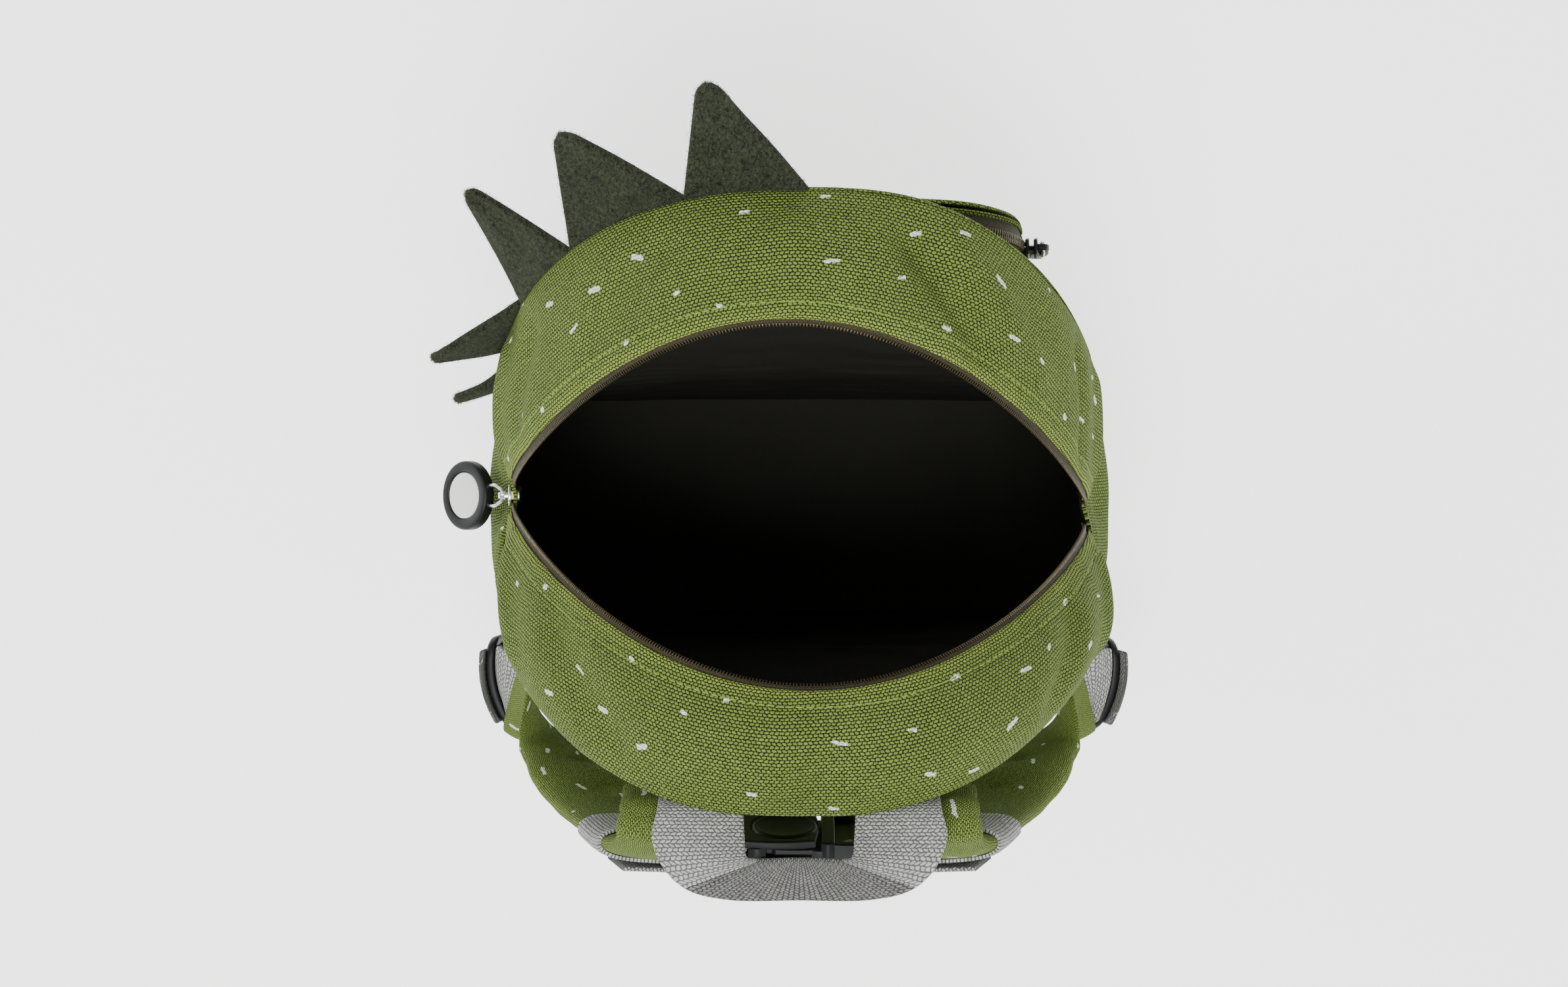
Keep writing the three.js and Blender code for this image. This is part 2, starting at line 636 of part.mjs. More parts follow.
// A strip round the pocket: columns give depths measured back from the face, or the panel's own
function pocketStrip(shares, edges) {
  return shares.map((share) => {
    const spot = pocket.at(share);
    const outward = pocket.outward(share > 1 ? share - 2 : share);
    const back = -frontFace(spot.x, spot.y) - POCKET_SEAT;
    const fore = -pocketFace(spot.y) + SEAM_GAP;
    return edges.map(({ behind, lift = 0 }) => {
      const y = behind === "panel" ? back : fore + behind;
      return vec(spot.x + outward.x * lift, y, spot.y + outward.y * lift);
    });
  });
}

function makePocket() {
  const ring = pocket.ring(PANEL_SPOKES, 0);
  const middle = (POCKET_TOP + POCKET_FOOT) / 2;
  addPiece("pocket_panel", dishWall(ring, middle, pocketDepth, CLOTH, FRONT), "canvas");

  const zipFrom = POCKET_FORE_STRIP + GAP;
  const zipTo = zipFrom + POCKET_ZIP_WIDTH;
  const ends = SEAM_GAP / SEAM_TOP;
  const upper = steps(POCKET_STATIONS, -POCKET_SHARE, POCKET_SHARE);
  const lower = steps(POCKET_STATIONS * 2, POCKET_SHARE + ends, 2 - POCKET_SHARE - ends);
  const wall = (shares, edges) => sheetWall(pocketStrip(shares, edges), CLOTH, 1);
  addPiece("pocket_gusset_fore", wall(upper, [{ behind: 0 }, { behind: POCKET_FORE_STRIP }]), "canvas");
  addPiece("pocket_gusset_rear", wall(upper, [{ behind: zipTo + GAP }, { behind: "panel" }]), "canvas");
  addPiece("pocket_gusset_lower", wall(lower, [{ behind: 0 }, { behind: "panel" }]), "canvas");
  const rib = TEETH_WIDTH * 0.8;
  const centre = (zipFrom + zipTo) / 2;
  const zipEdges = [
    { behind: zipFrom }, { behind: centre - rib - 0.5 }, { behind: centre - rib, lift: POCKET_RIDGE },
    { behind: centre + rib, lift: POCKET_RIDGE }, { behind: centre + rib + 0.5 }, { behind: zipTo },
  ];
  const zipShares = steps(POCKET_STATIONS, -POCKET_SHARE + ends, POCKET_SHARE - ends);
  addPiece("pocket_zip", sheetWall(pocketStrip(zipShares, zipEdges), TAPE, 1), "tape");
}

const PULL_SHARE = -POCKET_SHARE * 0.955;

function pocketSliderSpot() {
  const spot = pocket.at(PULL_SHARE);
  const outward = pocket.outward(PULL_SHARE);
  const y = -pocketFace(spot.y) + SEAM_GAP + POCKET_FORE_STRIP + GAP + POCKET_ZIP_WIDTH / 2;
  const height = POCKET_RIDGE + GAP + SLIDER_THICKNESS;
  return { spot: vec(spot.x + outward.x * height, y, spot.y + outward.y * height), outward };
}

function makePocketPuller() {
  const { spot, outward } = pocketSliderSpot();
  const lean = Math.atan2(outward.y, outward.x);
  const slider = sliderGeometry();
  slider.rotateY(Math.PI / 2);
  slider.rotateX(Math.PI / 2);
  slider.rotateY(-lean);
  addPiece("pocket_slider", slider, "metal").position.copy(spot);

  const pivot = spot.clone().add(vec(outward.x, 0, outward.y).multiplyScalar(CROWN_HEIGHT * 0.48));
  const ring = sweep(wireLoop(RING_LENGTH, RING_WIDTH, WIRE / 2), () => roundSection(WIRE / 2, 6), true);
  ring.rotateY(Math.PI / 2);
  addPiece("pocket_puller_ring", ring, "metal").position.copy(pivot);

  const eye = CROWN_HOLE;
  const tab = new THREE.Shape();
  const half = PULL_TAB_WIDTH / 2;
  tab.moveTo(-half * 0.6, eye);
  tab.quadraticCurveTo(0, eye * 1.7, half * 0.6, eye);
  tab.lineTo(half, -PULL_TAB_LENGTH * 0.3);
  tab.lineTo(half * 0.8, -PULL_TAB_LENGTH);
  tab.quadraticCurveTo(0, -PULL_TAB_LENGTH - eye, -half * 0.8, -PULL_TAB_LENGTH);
  tab.lineTo(-half, -PULL_TAB_LENGTH * 0.3);
  tab.closePath();
  const hole = new THREE.Path();
  hole.absarc(0, 0, eye / 2 + GAP, 0, Math.PI * 2, false);
  tab.holes.push(hole);
  const shape = new THREE.ExtrudeGeometry(tab, { depth: PULL_TAB_THICKNESS, bevelEnabled: false, curveSegments: 6 });
  shape.translate(0, 0, -PULL_TAB_THICKNESS / 2);
  shape.rotateX(Math.PI / 2);
  const hang = addPiece("pocket_puller_tab", shape, "plastic");
  hang.position.copy(pivot).add(vec(0, 0, -RING_LENGTH - GAP));
}

// Felt spikes stand in the front seam: from and to are shares of the half seam's length

const SPIKES = [
  { from: -0.004, to: 0.088, height: 1.04, tiltDeg: 41, slide: 0.17 },
  { from: 0.09, to: 0.2, height: 0.97, tiltDeg: 32, slide: -0.13 },
  { from: 0.205, to: 0.297, height: 0.85, tiltDeg: 43, slide: -0.11 },
  { from: 0.305, to: 0.4, height: 0.66, tiltDeg: -24, slide: 0.06 },
  { from: 0.46, to: 0.53, height: 0.55, tiltDeg: -25, slide: 0.05 },
];

const SPIKE_LEVELS = [0, 0.3, 0.6, 0.9, 0.96, 1];

function seamCorner(share) {
  const spot = body.at(share);
  return vec(spot.x, -(seamDepth(FRONT, spot.x, spot.y) + CLOTH / 2), spot.y);
}

function makeSpike(name, { from, to, height, tiltDeg, slide }) {
  const centre = (from + to) / 2;
  const outward = body.outward(centre);
  const along = seamCorner(to).sub(seamCorner(from)).normalize();
  const tilt = radians(tiltDeg);
  const lift = vec(outward.x * Math.cos(tilt), -Math.sin(tilt), outward.y * Math.cos(tilt));
  const tip = seamCorner(centre)
    .addScaledVector(lift, SPIKE_HEIGHT * height)
    .addScaledVector(along, SPIKE_HEIGHT * slide);
  const grid = steps(4, 0, 1).map((u) => SPIKE_LEVELS.map((v) => {
    const foot = seamCorner(lerp(from, to, u)).addScaledVector(lift, CLOTH / 2 + GAP);
    const rounding = Math.sqrt(Math.max(1 - Math.max((v - 0.9) / 0.1, 0) ** 2, 0.1));
    const top = tip.clone().addScaledVector(along, (u - 0.5) * SPIKE_TIP_WIDTH * rounding);
    return foot.lerp(top, v);
  }));
  addPiece(name, sheetWall(sunk(grid, -FELT / 2, 1), FELT, 1), "felt");
}

// Carry handle: a webbing loop that turns on edge in the middle
// across is a share of the spread, back of the reach, up of the seam's top, turn is in degrees

const HANDLE_ROWS = [
  { across: 1, back: 0.815, up: 0.982, turnDeg: 0 },
  { across: 1.03, back: 0.855, up: 0.995, turnDeg: 8 },
  { across: 1, back: 0.905, up: 1.005, turnDeg: 25 },
  { across: 0.85, back: 0.955, up: 1.005, turnDeg: 50 },
  { across: 0.45, back: 0.99, up: 1, turnDeg: 75 },
  { across: 0, back: 1, up: 1, turnDeg: 90 },
];

function handleRow({ across, back, up, turnDeg }, mirror) {
  const turn = radians(turnDeg);
  return {
    place: vec(mirror * across * HANDLE_SPREAD, back * HANDLE_REACH, up * SEAM_TOP),
    wide: vec(mirror * Math.cos(turn), -HANDLE_TILT * Math.sin(turn), Math.sin(turn)),
  };
}

function makeHandle() {
  const left = HANDLE_ROWS.map((row) => handleRow(row, 1));
  const right = HANDLE_ROWS.slice(0, -1).reverse().map((row) => handleRow(row, -1));
  const frames = framesThrough([...left, ...right], RIBBON_STATIONS * 2);
  addPiece("carry_handle", sweep(frames, () => flatSection(WEBBING, WEBBING_THICKNESS)), "webbing");
}

// Shoulder straps: across is a share of the half width, back of the strap's reach, up of the seam's top

const STRAP_ROWS = [
  { across: 0.37, back: 0.81, up: 0.952, wide: 0.84, thick: 0.45, turnDeg: 0 },
  { across: 0.375, back: 0.87, up: 0.95, wide: 0.88, thick: 0.75, turnDeg: 0 },
  { across: 0.38, back: 0.95, up: 0.915, wide: 0.92, thick: 1, turnDeg: 0 },
  { across: 0.42, back: 0.985, up: 0.85, wide: 1, thick: 1, turnDeg: -4 },
  { across: 0.5, back: 0.955, up: 0.75, wide: 1, thick: 1, turnDeg: -6 },
  { across: 0.6, back: 0.895, up: 0.64, wide: 1, thick: 1, turnDeg: -8 },
  { across: 0.715, back: 0.825, up: 0.545, wide: 1, thick: 1, turnDeg: -12 },
  { across: 0.814, back: 0.758, up: 0.46, wide: 0.94, thick: 1, turnDeg: -26 },
  { across: 1, back: 0.6, up: 0.4, wide: 0.78, thick: 0.6, turnDeg: -72 },
];

function strapFrames(mirror) {
  const rows = STRAP_ROWS.map(({ across, back, up, turnDeg }) => {
    const turn = radians(turnDeg);
    return {
      place: vec(mirror * across * HALF_WIDTH, back * STRAP_REACH, up * SEAM_TOP),
      wide: vec(mirror * Math.cos(turn), Math.sin(turn), 0),
    };
  });
  return framesThrough(rows, STRAP_STATIONS);
}

function strapSize(share) {
  const place = share * (STRAP_ROWS.length - 1);
  const index = Math.min(Math.floor(place), STRAP_ROWS.length - 2);
  const [here, next] = [STRAP_ROWS[index], STRAP_ROWS[index + 1]];
  const part = place - index;
  return { width: STRAP_WIDTH * lerp(here.wide, next.wide, part), thickness: STRAP_THICKNESS * lerp(here.thick, next.thick, part) };
}

const BAND_SHARE = 0.46;
const BAND_HALF_SHARE = 0.06;

function makeStrap(label, mirror) {
  const frames = strapFrames(mirror);
  const strap = sweep(frames, (frame) => {
    const { width, thickness } = strapSize(frame.share);
    return padSection(width, thickness);
  });
  addPiece(`shoulder_strap_${label}`, strap, "canvas");

  // A flat webbing band goes round the strap and carries the chest strap
  const near = frames.filter(({ share }) => Math.abs(share - BAND_SHARE) <= BAND_HALF_SHARE);
  const around = padSection(STRAP_WIDTH + GAP * 4, STRAP_THICKNESS + GAP * 4);
  const outside = padSection(STRAP_WIDTH + GAP * 4 + WEBBING_THICKNESS * 2, STRAP_THICKNESS + GAP * 4 + WEBBING_THICKNESS * 2);
  addPiece(`chest_band_${label}`, tubeWall(near, outside, around), "webbing");
  return frames;
}

// A short sleeve swept through frames, with an outer and an inner section of as many corners
function tubeWall(frames, outside, inside) {
  const corners = outside.length;
  const place = (frame, [a, b]) => frame.place.clone().addScaledVector(frame.wide, a).addScaledVector(frame.thick, b);
  const points = [
    ...frames.flatMap((frame) => outside.map((corner) => place(frame, corner))),
    ...frames.flatMap((frame) => inside.map((corner) => place(frame, corner))),
  ];
  const low = frames.length * corners;
  const at = (i, j) => i * corners + (j % corners);
  const faces = [];
  const last = frames.length - 1;
  for (let j = 0; j < corners; j += 1) {
    for (let i = 0; i < last; i += 1) {
      bridge(faces, at(i, j), at(i, j + 1), at(i + 1, j + 1), at(i + 1, j));
      bridge(faces, low + at(i, j), low + at(i + 1, j), low + at(i + 1, j + 1), low + at(i, j + 1));
    }
    bridge(faces, at(0, j), low + at(0, j), low + at(0, j + 1), at(0, j + 1));
    bridge(faces, at(last, j), at(last, j + 1), low + at(last, j + 1), low + at(last, j));
  }
  return closedGeometry(points, faces);
}

// Ladder-lock adjusters, drawn with x across the webbing, y up it and z outwards

const ADJUSTER_SPOT = { across: 1.08, back: 0.565, up: 0.3 };
const ADJUSTER_TURN_DEG = 78;

function adjusterPlacement(mirror, tiltDeg) {
  const turn = radians(ADJUSTER_TURN_DEG);
  const wide = vec(mirror * Math.cos(turn), -Math.sin(turn), 0);
  const out = vec(mirror * Math.sin(turn), Math.cos(turn), 0);
  const tilt = radians(tiltDeg);
  const up = UP.clone().multiplyScalar(Math.cos(tilt)).addScaledVector(out, Math.sin(tilt));
  const normal = wide.clone().cross(up).normalize();
  if (normal.dot(out) < 0) wide.negate();
  const place = vec(
    mirror * ADJUSTER_SPOT.across * HALF_WIDTH,
    ADJUSTER_SPOT.back * STRAP_REACH,
    ADJUSTER_SPOT.up * SEAM_TOP,
  );
  const matrix = new THREE.Matrix4().makeBasis(wide, up, wide.clone().cross(up));
  return matrix.setPosition(place);
}

function adjusterGeometry() {
  const frame = new THREE.Shape();
  const [halfW, halfH] = [ADJUSTER_WIDTH / 2, ADJUSTER_HEIGHT / 2];
  const round = ADJUSTER_BAR * 1.4;
  frame.moveTo(-halfW + round, -halfH);
  frame.lineTo(halfW - round, -halfH);
  frame.quadraticCurveTo(halfW, -halfH, halfW, -halfH + round);
  frame.lineTo(halfW, halfH - round);
  frame.quadraticCurveTo(halfW, halfH, halfW - round, halfH);
  frame.lineTo(-halfW + round, halfH);
  frame.quadraticCurveTo(-halfW, halfH, -halfW, halfH - round);
  frame.lineTo(-halfW, -halfH + round);
  frame.quadraticCurveTo(-halfW, -halfH, -halfW + round, -halfH);
  const slots = [
    { low: halfH - ADJUSTER_BAR - ADJUSTER_HEIGHT * ADJUSTER_SLOT_SHARE, high: halfH - ADJUSTER_BAR },
    { low: -halfH + ADJUSTER_BAR, high: halfH - ADJUSTER_BAR * 2 - ADJUSTER_HEIGHT * ADJUSTER_SLOT_SHARE },
  ];
  const inside = WEBBING / 2 + GAP * 2;
  for (const { low, high } of slots) {
    const slot = new THREE.Path();
    slot.moveTo(-inside, low);
    slot.lineTo(-inside, high);
    slot.lineTo(inside, high);
    slot.lineTo(inside, low);
    slot.closePath();
    frame.holes.push(slot);
  }
  const body3d = new THREE.ExtrudeGeometry(frame, { depth: ADJUSTER_BAR, bevelEnabled: false, curveSegments: 4 });
  body3d.translate(0, 0, -ADJUSTER_BAR / 2);
  return body3d;
}

// Webbing in the adjuster's own frame: half turns round a bar, then free points outside it
function localRibbon(points, matrix, tailRows, width) {
  const wide = vec(1, 0, 0).transformDirection(matrix);
  const rows = points.map(([y, z]) => ({ place: vec(0, y, z).applyMatrix4(matrix), wide }));
  return sweep(framesThrough([...rows, ...tailRows], RIBBON_STATIONS * 2), () => flatSection(width, WEBBING_THICKNESS));
}

// Where the lower webbing lies on the gusset: height is a share of the zip end's, v runs to the back
const SEWN_ROWS = [{ height: 0.27, v: 0.81 }, { height: 0.2, v: 0.74 }, { height: 0.13, v: 0.67 }];

function makeAdjuster(label, mirror, tiltDeg, frames) {
  const matrix = adjusterPlacement(mirror, tiltDeg);
  const frame = adjusterGeometry();
  frame.applyMatrix4(matrix);
  addPiece(`strap_adjuster_${label}`, frame, "plastic");

  const halfH = ADJUSTER_HEIGHT / 2;
  const off = ADJUSTER_BAR / 2 + GAP + WEBBING_THICKNESS / 2;
  const slotTop = halfH - ADJUSTER_BAR;
  const slotLow = slotTop - ADJUSTER_HEIGHT * ADJUSTER_SLOT_SHARE;
  const strapEnd = frames[frames.length - 1];
  const strapWide = vec(1, 0, 0).transformDirection(matrix);
  const endWide = strapEnd.wide.clone().multiplyScalar(Math.sign(strapEnd.wide.dot(strapWide)));
  const bendRound = (middle, away) => [90, 45, 0, -45, -90].map((degrees) => [
    middle + away * off * Math.cos(radians(degrees)), off * Math.sin(radians(degrees)),
  ]);
  const loop = [[halfH + WEBBING_THICKNESS * 2, off], [halfH, off], ...bendRound(slotTop, -1), [halfH, -off], [halfH + WEBBING_THICKNESS * 2, -off * 1.3]];
  const seats = [6, 1].map((clear) => ({
    place: strapEnd.place.clone().addScaledVector(strapEnd.tangent, clear * GAP * 3), wide: endWide,
  }));
  addPiece(`strap_loop_${label}`, localRibbon(loop, matrix, seats, WEBBING), "webbing");

  const tail = [
    [-halfH - TAIL_LENGTH, off * 2.2], [-halfH - TAIL_LENGTH / 2, off * 1.8], [-halfH, off],
    ...bendRound(slotLow, 1), [-halfH, -off * 1.1], [-halfH - WEBBING_THICKNESS * 2, -off * 1.5],
  ];
  const side = mirror > 0 ? 0 : 1;
  const sewnSpot = ({ height, v }) => {
    const t = (body.shareAtHeight(ZIP_END_HEIGHT * height) - ZIP_SHARE) / (2 * (1 - ZIP_SHARE));
    return lowerPoint(side ? 1 - t : t, v);
  };
  const run = sewnSpot(SEWN_ROWS[SEWN_ROWS.length - 1]).sub(sewnSpot(SEWN_ROWS[0])).normalize();
  const sewn = SEWN_ROWS.map((row) => {
    const place = sewnSpot(row);
    const level = sewnSpot({ ...row, v: row.v - 0.02 }).sub(place);
    const upward = sewnSpot({ ...row, height: row.height + 0.02 }).sub(place);
    const normal = level.cross(upward).normalize();
    if (normal.x * mirror < 0) normal.negate();
    place.addScaledVector(normal, WEBBING_THICKNESS / 2 + GAP * 5);
    const wide = normal.clone().cross(run);
    return { place, wide: wide.dot(strapWide) < 0 ? wide.negate() : wide };
  });
  addPiece(`strap_webbing_${label}`, localRibbon(tail, matrix, sewn, WEBBING), "webbing");
}

// Chest strap: webbing from each band to a side-release buckle behind the handle

const CHEST_HEIGHT = 0.735;
const CHEST_BACK = 0.985;

function chestWebbing(label, mirror, frames) {
  const band = frames.reduce((best, frame) => (
    Math.abs(frame.share - BAND_SHARE) < Math.abs(best.share - BAND_SHARE) ? frame : best));
  const out = band.thick.clone();
  if (out.y < 0) out.negate();
  const clear = STRAP_THICKNESS / 2 + GAP * 4 + WEBBING_THICKNESS * 1.5 + GAP;
  const inward = band.wide.clone().multiplyScalar(-mirror * Math.sign(band.wide.x));
  const centre = band.place.clone().addScaledVector(out, clear);
  const tangent = band.tangent;
  const buckleUp = vec(0, 0, -1).applyAxisAngle(vec(1, 0, 0), -radians(BUCKLE_TILT_DEG));
  const end = mirror > 0 ? BUCKLE_SOCKET * 0.72 : BUCKLE_SOCKET * 0.28 + BUCKLE_PLUG;
  const rows = [
    { place: centre.clone().addScaledVector(inward, -STRAP_WIDTH * 0.3), wide: tangent },
    { place: centre, wide: tangent },
    { place: centre.clone().addScaledVector(inward, STRAP_WIDTH * 0.36), wide: tangent },
    { place: vec(mirror * (end + BUCKLE_THICKNESS / 2), CHEST_BACK * STRAP_REACH, CHEST_HEIGHT * SEAM_TOP), wide: buckleUp },
    { place: vec(mirror * (end + GAP), CHEST_BACK * STRAP_REACH, CHEST_HEIGHT * SEAM_TOP), wide: buckleUp },
  ];
  const ribbon = sweep(framesThrough(rows, RIBBON_STATIONS), () => flatSection(CHEST_WEBBING, WEBBING_THICKNESS));
  addPiece(`chest_webbing_${label}`, ribbon, "webbing");
}

function buckleHalf(length, taper) {
  const half = BUCKLE_WIDTH / 2;
  const shape = new THREE.Shape();
  shape.moveTo(0, -half);
  shape.lineTo(length * 0.7, -half);
  shape.quadraticCurveTo(length, -half * taper, length, -half * taper * 0.9);
  shape.lineTo(length, half * taper * 0.9);
  shape.quadraticCurveTo(length, half * taper, length * 0.7, half);
  shape.lineTo(0, half);
  shape.closePath();
  const solid = new THREE.ExtrudeGeometry(shape, {
    depth: BUCKLE_THICKNESS - 2, bevelEnabled: true, bevelThickness: 1, bevelSize: 1, bevelOffset: -1, bevelSegments: 1, curveSegments: 4,
  });
  solid.translate(0, 0, -(BUCKLE_THICKNESS - 2) / 2);
  solid.rotateX(Math.PI / 2 - radians(BUCKLE_TILT_DEG));
  return solid;
}

function makeBuckle() {
  const place = vec(0, CHEST_BACK * STRAP_REACH, CHEST_HEIGHT * SEAM_TOP);
  const split = -BUCKLE_SOCKET * 0.28;
  const socket = buckleHalf(BUCKLE_SOCKET, 0.85).translate(split + GAP / 2, 0, 0);
  addPiece("chest_buckle_socket", socket, "plastic").position.copy(place);
  const plug = buckleHalf(BUCKLE_PLUG, 0.8).rotateZ(Math.PI).translate(split - GAP / 2, 0, 0);
  addPiece("chest_buckle_plug", plug, "plastic").position.copy(place);
}

makePanels();
makeZipGussets();
makeLowerGusset();
makeMainPuller();
makePocket();
makePocketPuller();
SPIKES.forEach((spike, i) => makeSpike(`spike_${i + 1}`, spike));
makeHandle();
for (const [label, mirror, tiltDeg] of [["left", 1, 4], ["right", -1, 14]]) {
  const frames = makeStrap(label, mirror);
  makeAdjuster(label, mirror, tiltDeg, frames);
  chestWebbing(label, mirror, frames);
}
makeBuckle();

export default bag;
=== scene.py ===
import json
import math

import bpy
import numpy as np
from mathutils import Matrix, Vector

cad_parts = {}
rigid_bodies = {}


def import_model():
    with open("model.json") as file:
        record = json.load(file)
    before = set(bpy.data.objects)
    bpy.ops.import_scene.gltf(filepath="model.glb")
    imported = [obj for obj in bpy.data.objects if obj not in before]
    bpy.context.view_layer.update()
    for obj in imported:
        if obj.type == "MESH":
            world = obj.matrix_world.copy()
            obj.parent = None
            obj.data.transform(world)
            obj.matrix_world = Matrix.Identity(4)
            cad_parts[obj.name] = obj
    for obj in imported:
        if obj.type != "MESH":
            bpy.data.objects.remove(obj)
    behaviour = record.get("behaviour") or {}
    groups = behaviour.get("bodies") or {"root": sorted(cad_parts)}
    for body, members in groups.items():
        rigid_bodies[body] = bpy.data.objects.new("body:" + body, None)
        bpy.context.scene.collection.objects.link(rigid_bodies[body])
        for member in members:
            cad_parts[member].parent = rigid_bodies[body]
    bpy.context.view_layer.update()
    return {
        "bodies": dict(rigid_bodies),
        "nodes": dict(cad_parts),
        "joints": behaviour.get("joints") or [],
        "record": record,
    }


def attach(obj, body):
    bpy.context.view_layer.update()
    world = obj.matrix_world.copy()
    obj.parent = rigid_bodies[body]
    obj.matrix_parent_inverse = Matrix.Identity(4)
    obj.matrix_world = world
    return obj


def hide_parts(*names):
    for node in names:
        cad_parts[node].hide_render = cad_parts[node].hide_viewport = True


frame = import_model()


# The view is from straight above the open mouth of the bag on its table.
# The eye stands 1.29 m over the table, and the bag's axis lies a little off the
# middle of the picture.
PHOTO_WIDTH, PHOTO_HEIGHT = 2383, 1500
EYE_HEIGHT = 1.29
FOCAL_PIXELS = 4500
AXIS_PIXEL = (1215, 767)
lens = bpy.data.cameras.new("camera")
lens.sensor_width = 36
lens.lens = lens.sensor_width * FOCAL_PIXELS / PHOTO_WIDTH
lens.shift_x = (PHOTO_WIDTH / 2 - AXIS_PIXEL[0]) / PHOTO_WIDTH
lens.shift_y = (AXIS_PIXEL[1] - PHOTO_HEIGHT / 2) / PHOTO_WIDTH
camera = bpy.data.objects.new("camera", lens)
camera.location = (0, 0, EYE_HEIGHT)
camera.rotation_euler = (0, 0, math.pi)
bpy.context.scene.collection.objects.link(camera)
bpy.context.scene.camera = camera


# The front and back panels are cut from printed green canvas and sewn to the
# gussets all round. Each is a shallow dish that leans outwards above the zip's
# ends, with its edge rolled into the seam.
MM = 0.001
HALF_WIDTH, SEAM_TOP, SHOULDER, CORNER = 113, 290, 120, 38
BASE_DEPTH, FRONT_LEAN, BACK_LEAN = 96, 59, 56
PANEL_CROWN = 9
CLOTH, BACK_PADDING, FRONT, BACK = 1.8, 4, -1, 1
EDGE_ROLL = 3.5


def half_outline(half_width, top, shoulder, corner, foot):
    angle = np.linspace(0, np.pi / 2, 500)
    arch = np.stack([
        half_width * np.sin(angle) ** 0.8,
        shoulder + (top - shoulder) * np.clip(np.cos(angle), 0, 1) ** 0.8,
    ], 1)
    turn = np.linspace(0, np.pi / 2, 80)
    bend = np.stack([
        half_width - corner + corner * np.cos(turn),
        foot + corner - corner * np.sin(turn),
    ], 1)
    points = np.concatenate([arch, bend, [[0, foot]]])
    length = np.concatenate([[0], np.cumsum(np.linalg.norm(np.diff(points, axis=0), axis=1))])
    return points, length / length[-1], length[-1]


def outline_at(line, share):
    points, shares, _ = line
    share = np.asarray(share, float)
    share = np.where(share > 1, share - 2, share)
    away = np.abs(share)
    return np.sign(share) * np.interp(away, shares, points[:, 0]), np.interp(away, shares, points[:, 1])


def outline_out(line, share):
    x0, z0 = outline_at(line, np.asarray(share) - 0.004)
    x1, z1 = outline_at(line, np.asarray(share) + 0.004)
    size = np.hypot(x1 - x0, z1 - z0)
    return (z0 - z1) / size, (x1 - x0) / size


def share_at_height(line, height):
    points, shares, _ = line
    return float(np.interp(-height, -points[:, 1], shares))


def half_width_at(z, half_width, top, shoulder, corner, foot):
    above = np.clip((z - shoulder) / (top - shoulder), 0, 1)
    wide = half_width * (1 - above ** 2.5) ** 0.4
    below = np.clip(foot + corner - z, 0, corner)
    return np.where(z > shoulder, wide, half_width - corner + np.sqrt(corner ** 2 - below ** 2))


BODY = dict(half_width=HALF_WIDTH, top=SEAM_TOP, shoulder=SHOULDER, corner=CORNER, foot=0)
body_line = half_outline(**BODY)


def seam_depth(side, x, z):
    rise = np.clip(z - SHOULDER, 0, None) / (SEAM_TOP - SHOULDER)
    if side == BACK:
        return BASE_DEPTH / 2 + BACK_LEAN * rise ** 2.3
    power = 2.2 - 0.7 * np.clip((x / HALF_WIDTH + 1) / 2, 0, 1)
    return BASE_DEPTH / 2 + FRONT_LEAN * rise ** power


def panel_depth(side, x, z):
    across = 1 - (x / np.maximum(half_width_at(z, **BODY), 1)) ** 2
    upward = 1 - np.abs(z / (SEAM_TOP / 2) - 1) ** 4
    return seam_depth(side, x, z) + PANEL_CROWN * np.clip(across, 0, None) * np.clip(upward, 0, None)


def shell_mesh(name, points, faces, uvs):
    """A closed mesh in metres from points in millimetres, with faces turned outwards."""
    points = np.asarray(points, float) * MM
    corners = points[np.array([(face[0], b, c) for face in faces for b, c in zip(face[1:-1], face[2:])])]
    if np.einsum("ij,ij->", np.cross(corners[:, 0], corners[:, 1]), corners[:, 2]) < 0:
        faces = [tuple(reversed(face)) for face in faces]
    mesh = bpy.data.meshes.new(name)
    mesh.from_pydata([tuple(p) for p in points], [], faces)
    layer = mesh.uv_layers.new(name="cloth")
    flat = np.asarray(uvs, float)
    order = np.zeros(len(mesh.loops), int)
    mesh.loops.foreach_get("vertex_index", order)
    layer.data.foreach_set("uv", (flat[order] * MM).ravel())
    mesh.polygons.foreach_set("use_smooth", np.ones(len(mesh.polygons), bool))
    mesh.set_sharp_from_angle(angle=math.radians(50))
    thing = bpy.data.objects.new(name, mesh)
    bpy.context.scene.collection.objects.link(thing)
    return thing


def grid_normals(grid):
    along = np.gradient(grid, axis=0)
    across = np.gradient(grid, axis=1)
    normal = np.cross(along, across)
    return normal / np.maximum(np.linalg.norm(normal, axis=2, keepdims=True), 1e-9)


def sheet_uvs(grid):
    along = np.concatenate([[0], np.cumsum(np.linalg.norm(np.diff(grid[:, grid.shape[1] // 2], axis=0),
                                                          axis=1))])
    steps = np.linalg.norm(np.diff(grid, axis=1), axis=2)
    across = np.concatenate([np.zeros((grid.shape[0], 1)), np.cumsum(steps, axis=1)], axis=1)
    return np.stack([np.repeat(along[:, None], grid.shape[1], 1), across], 2)


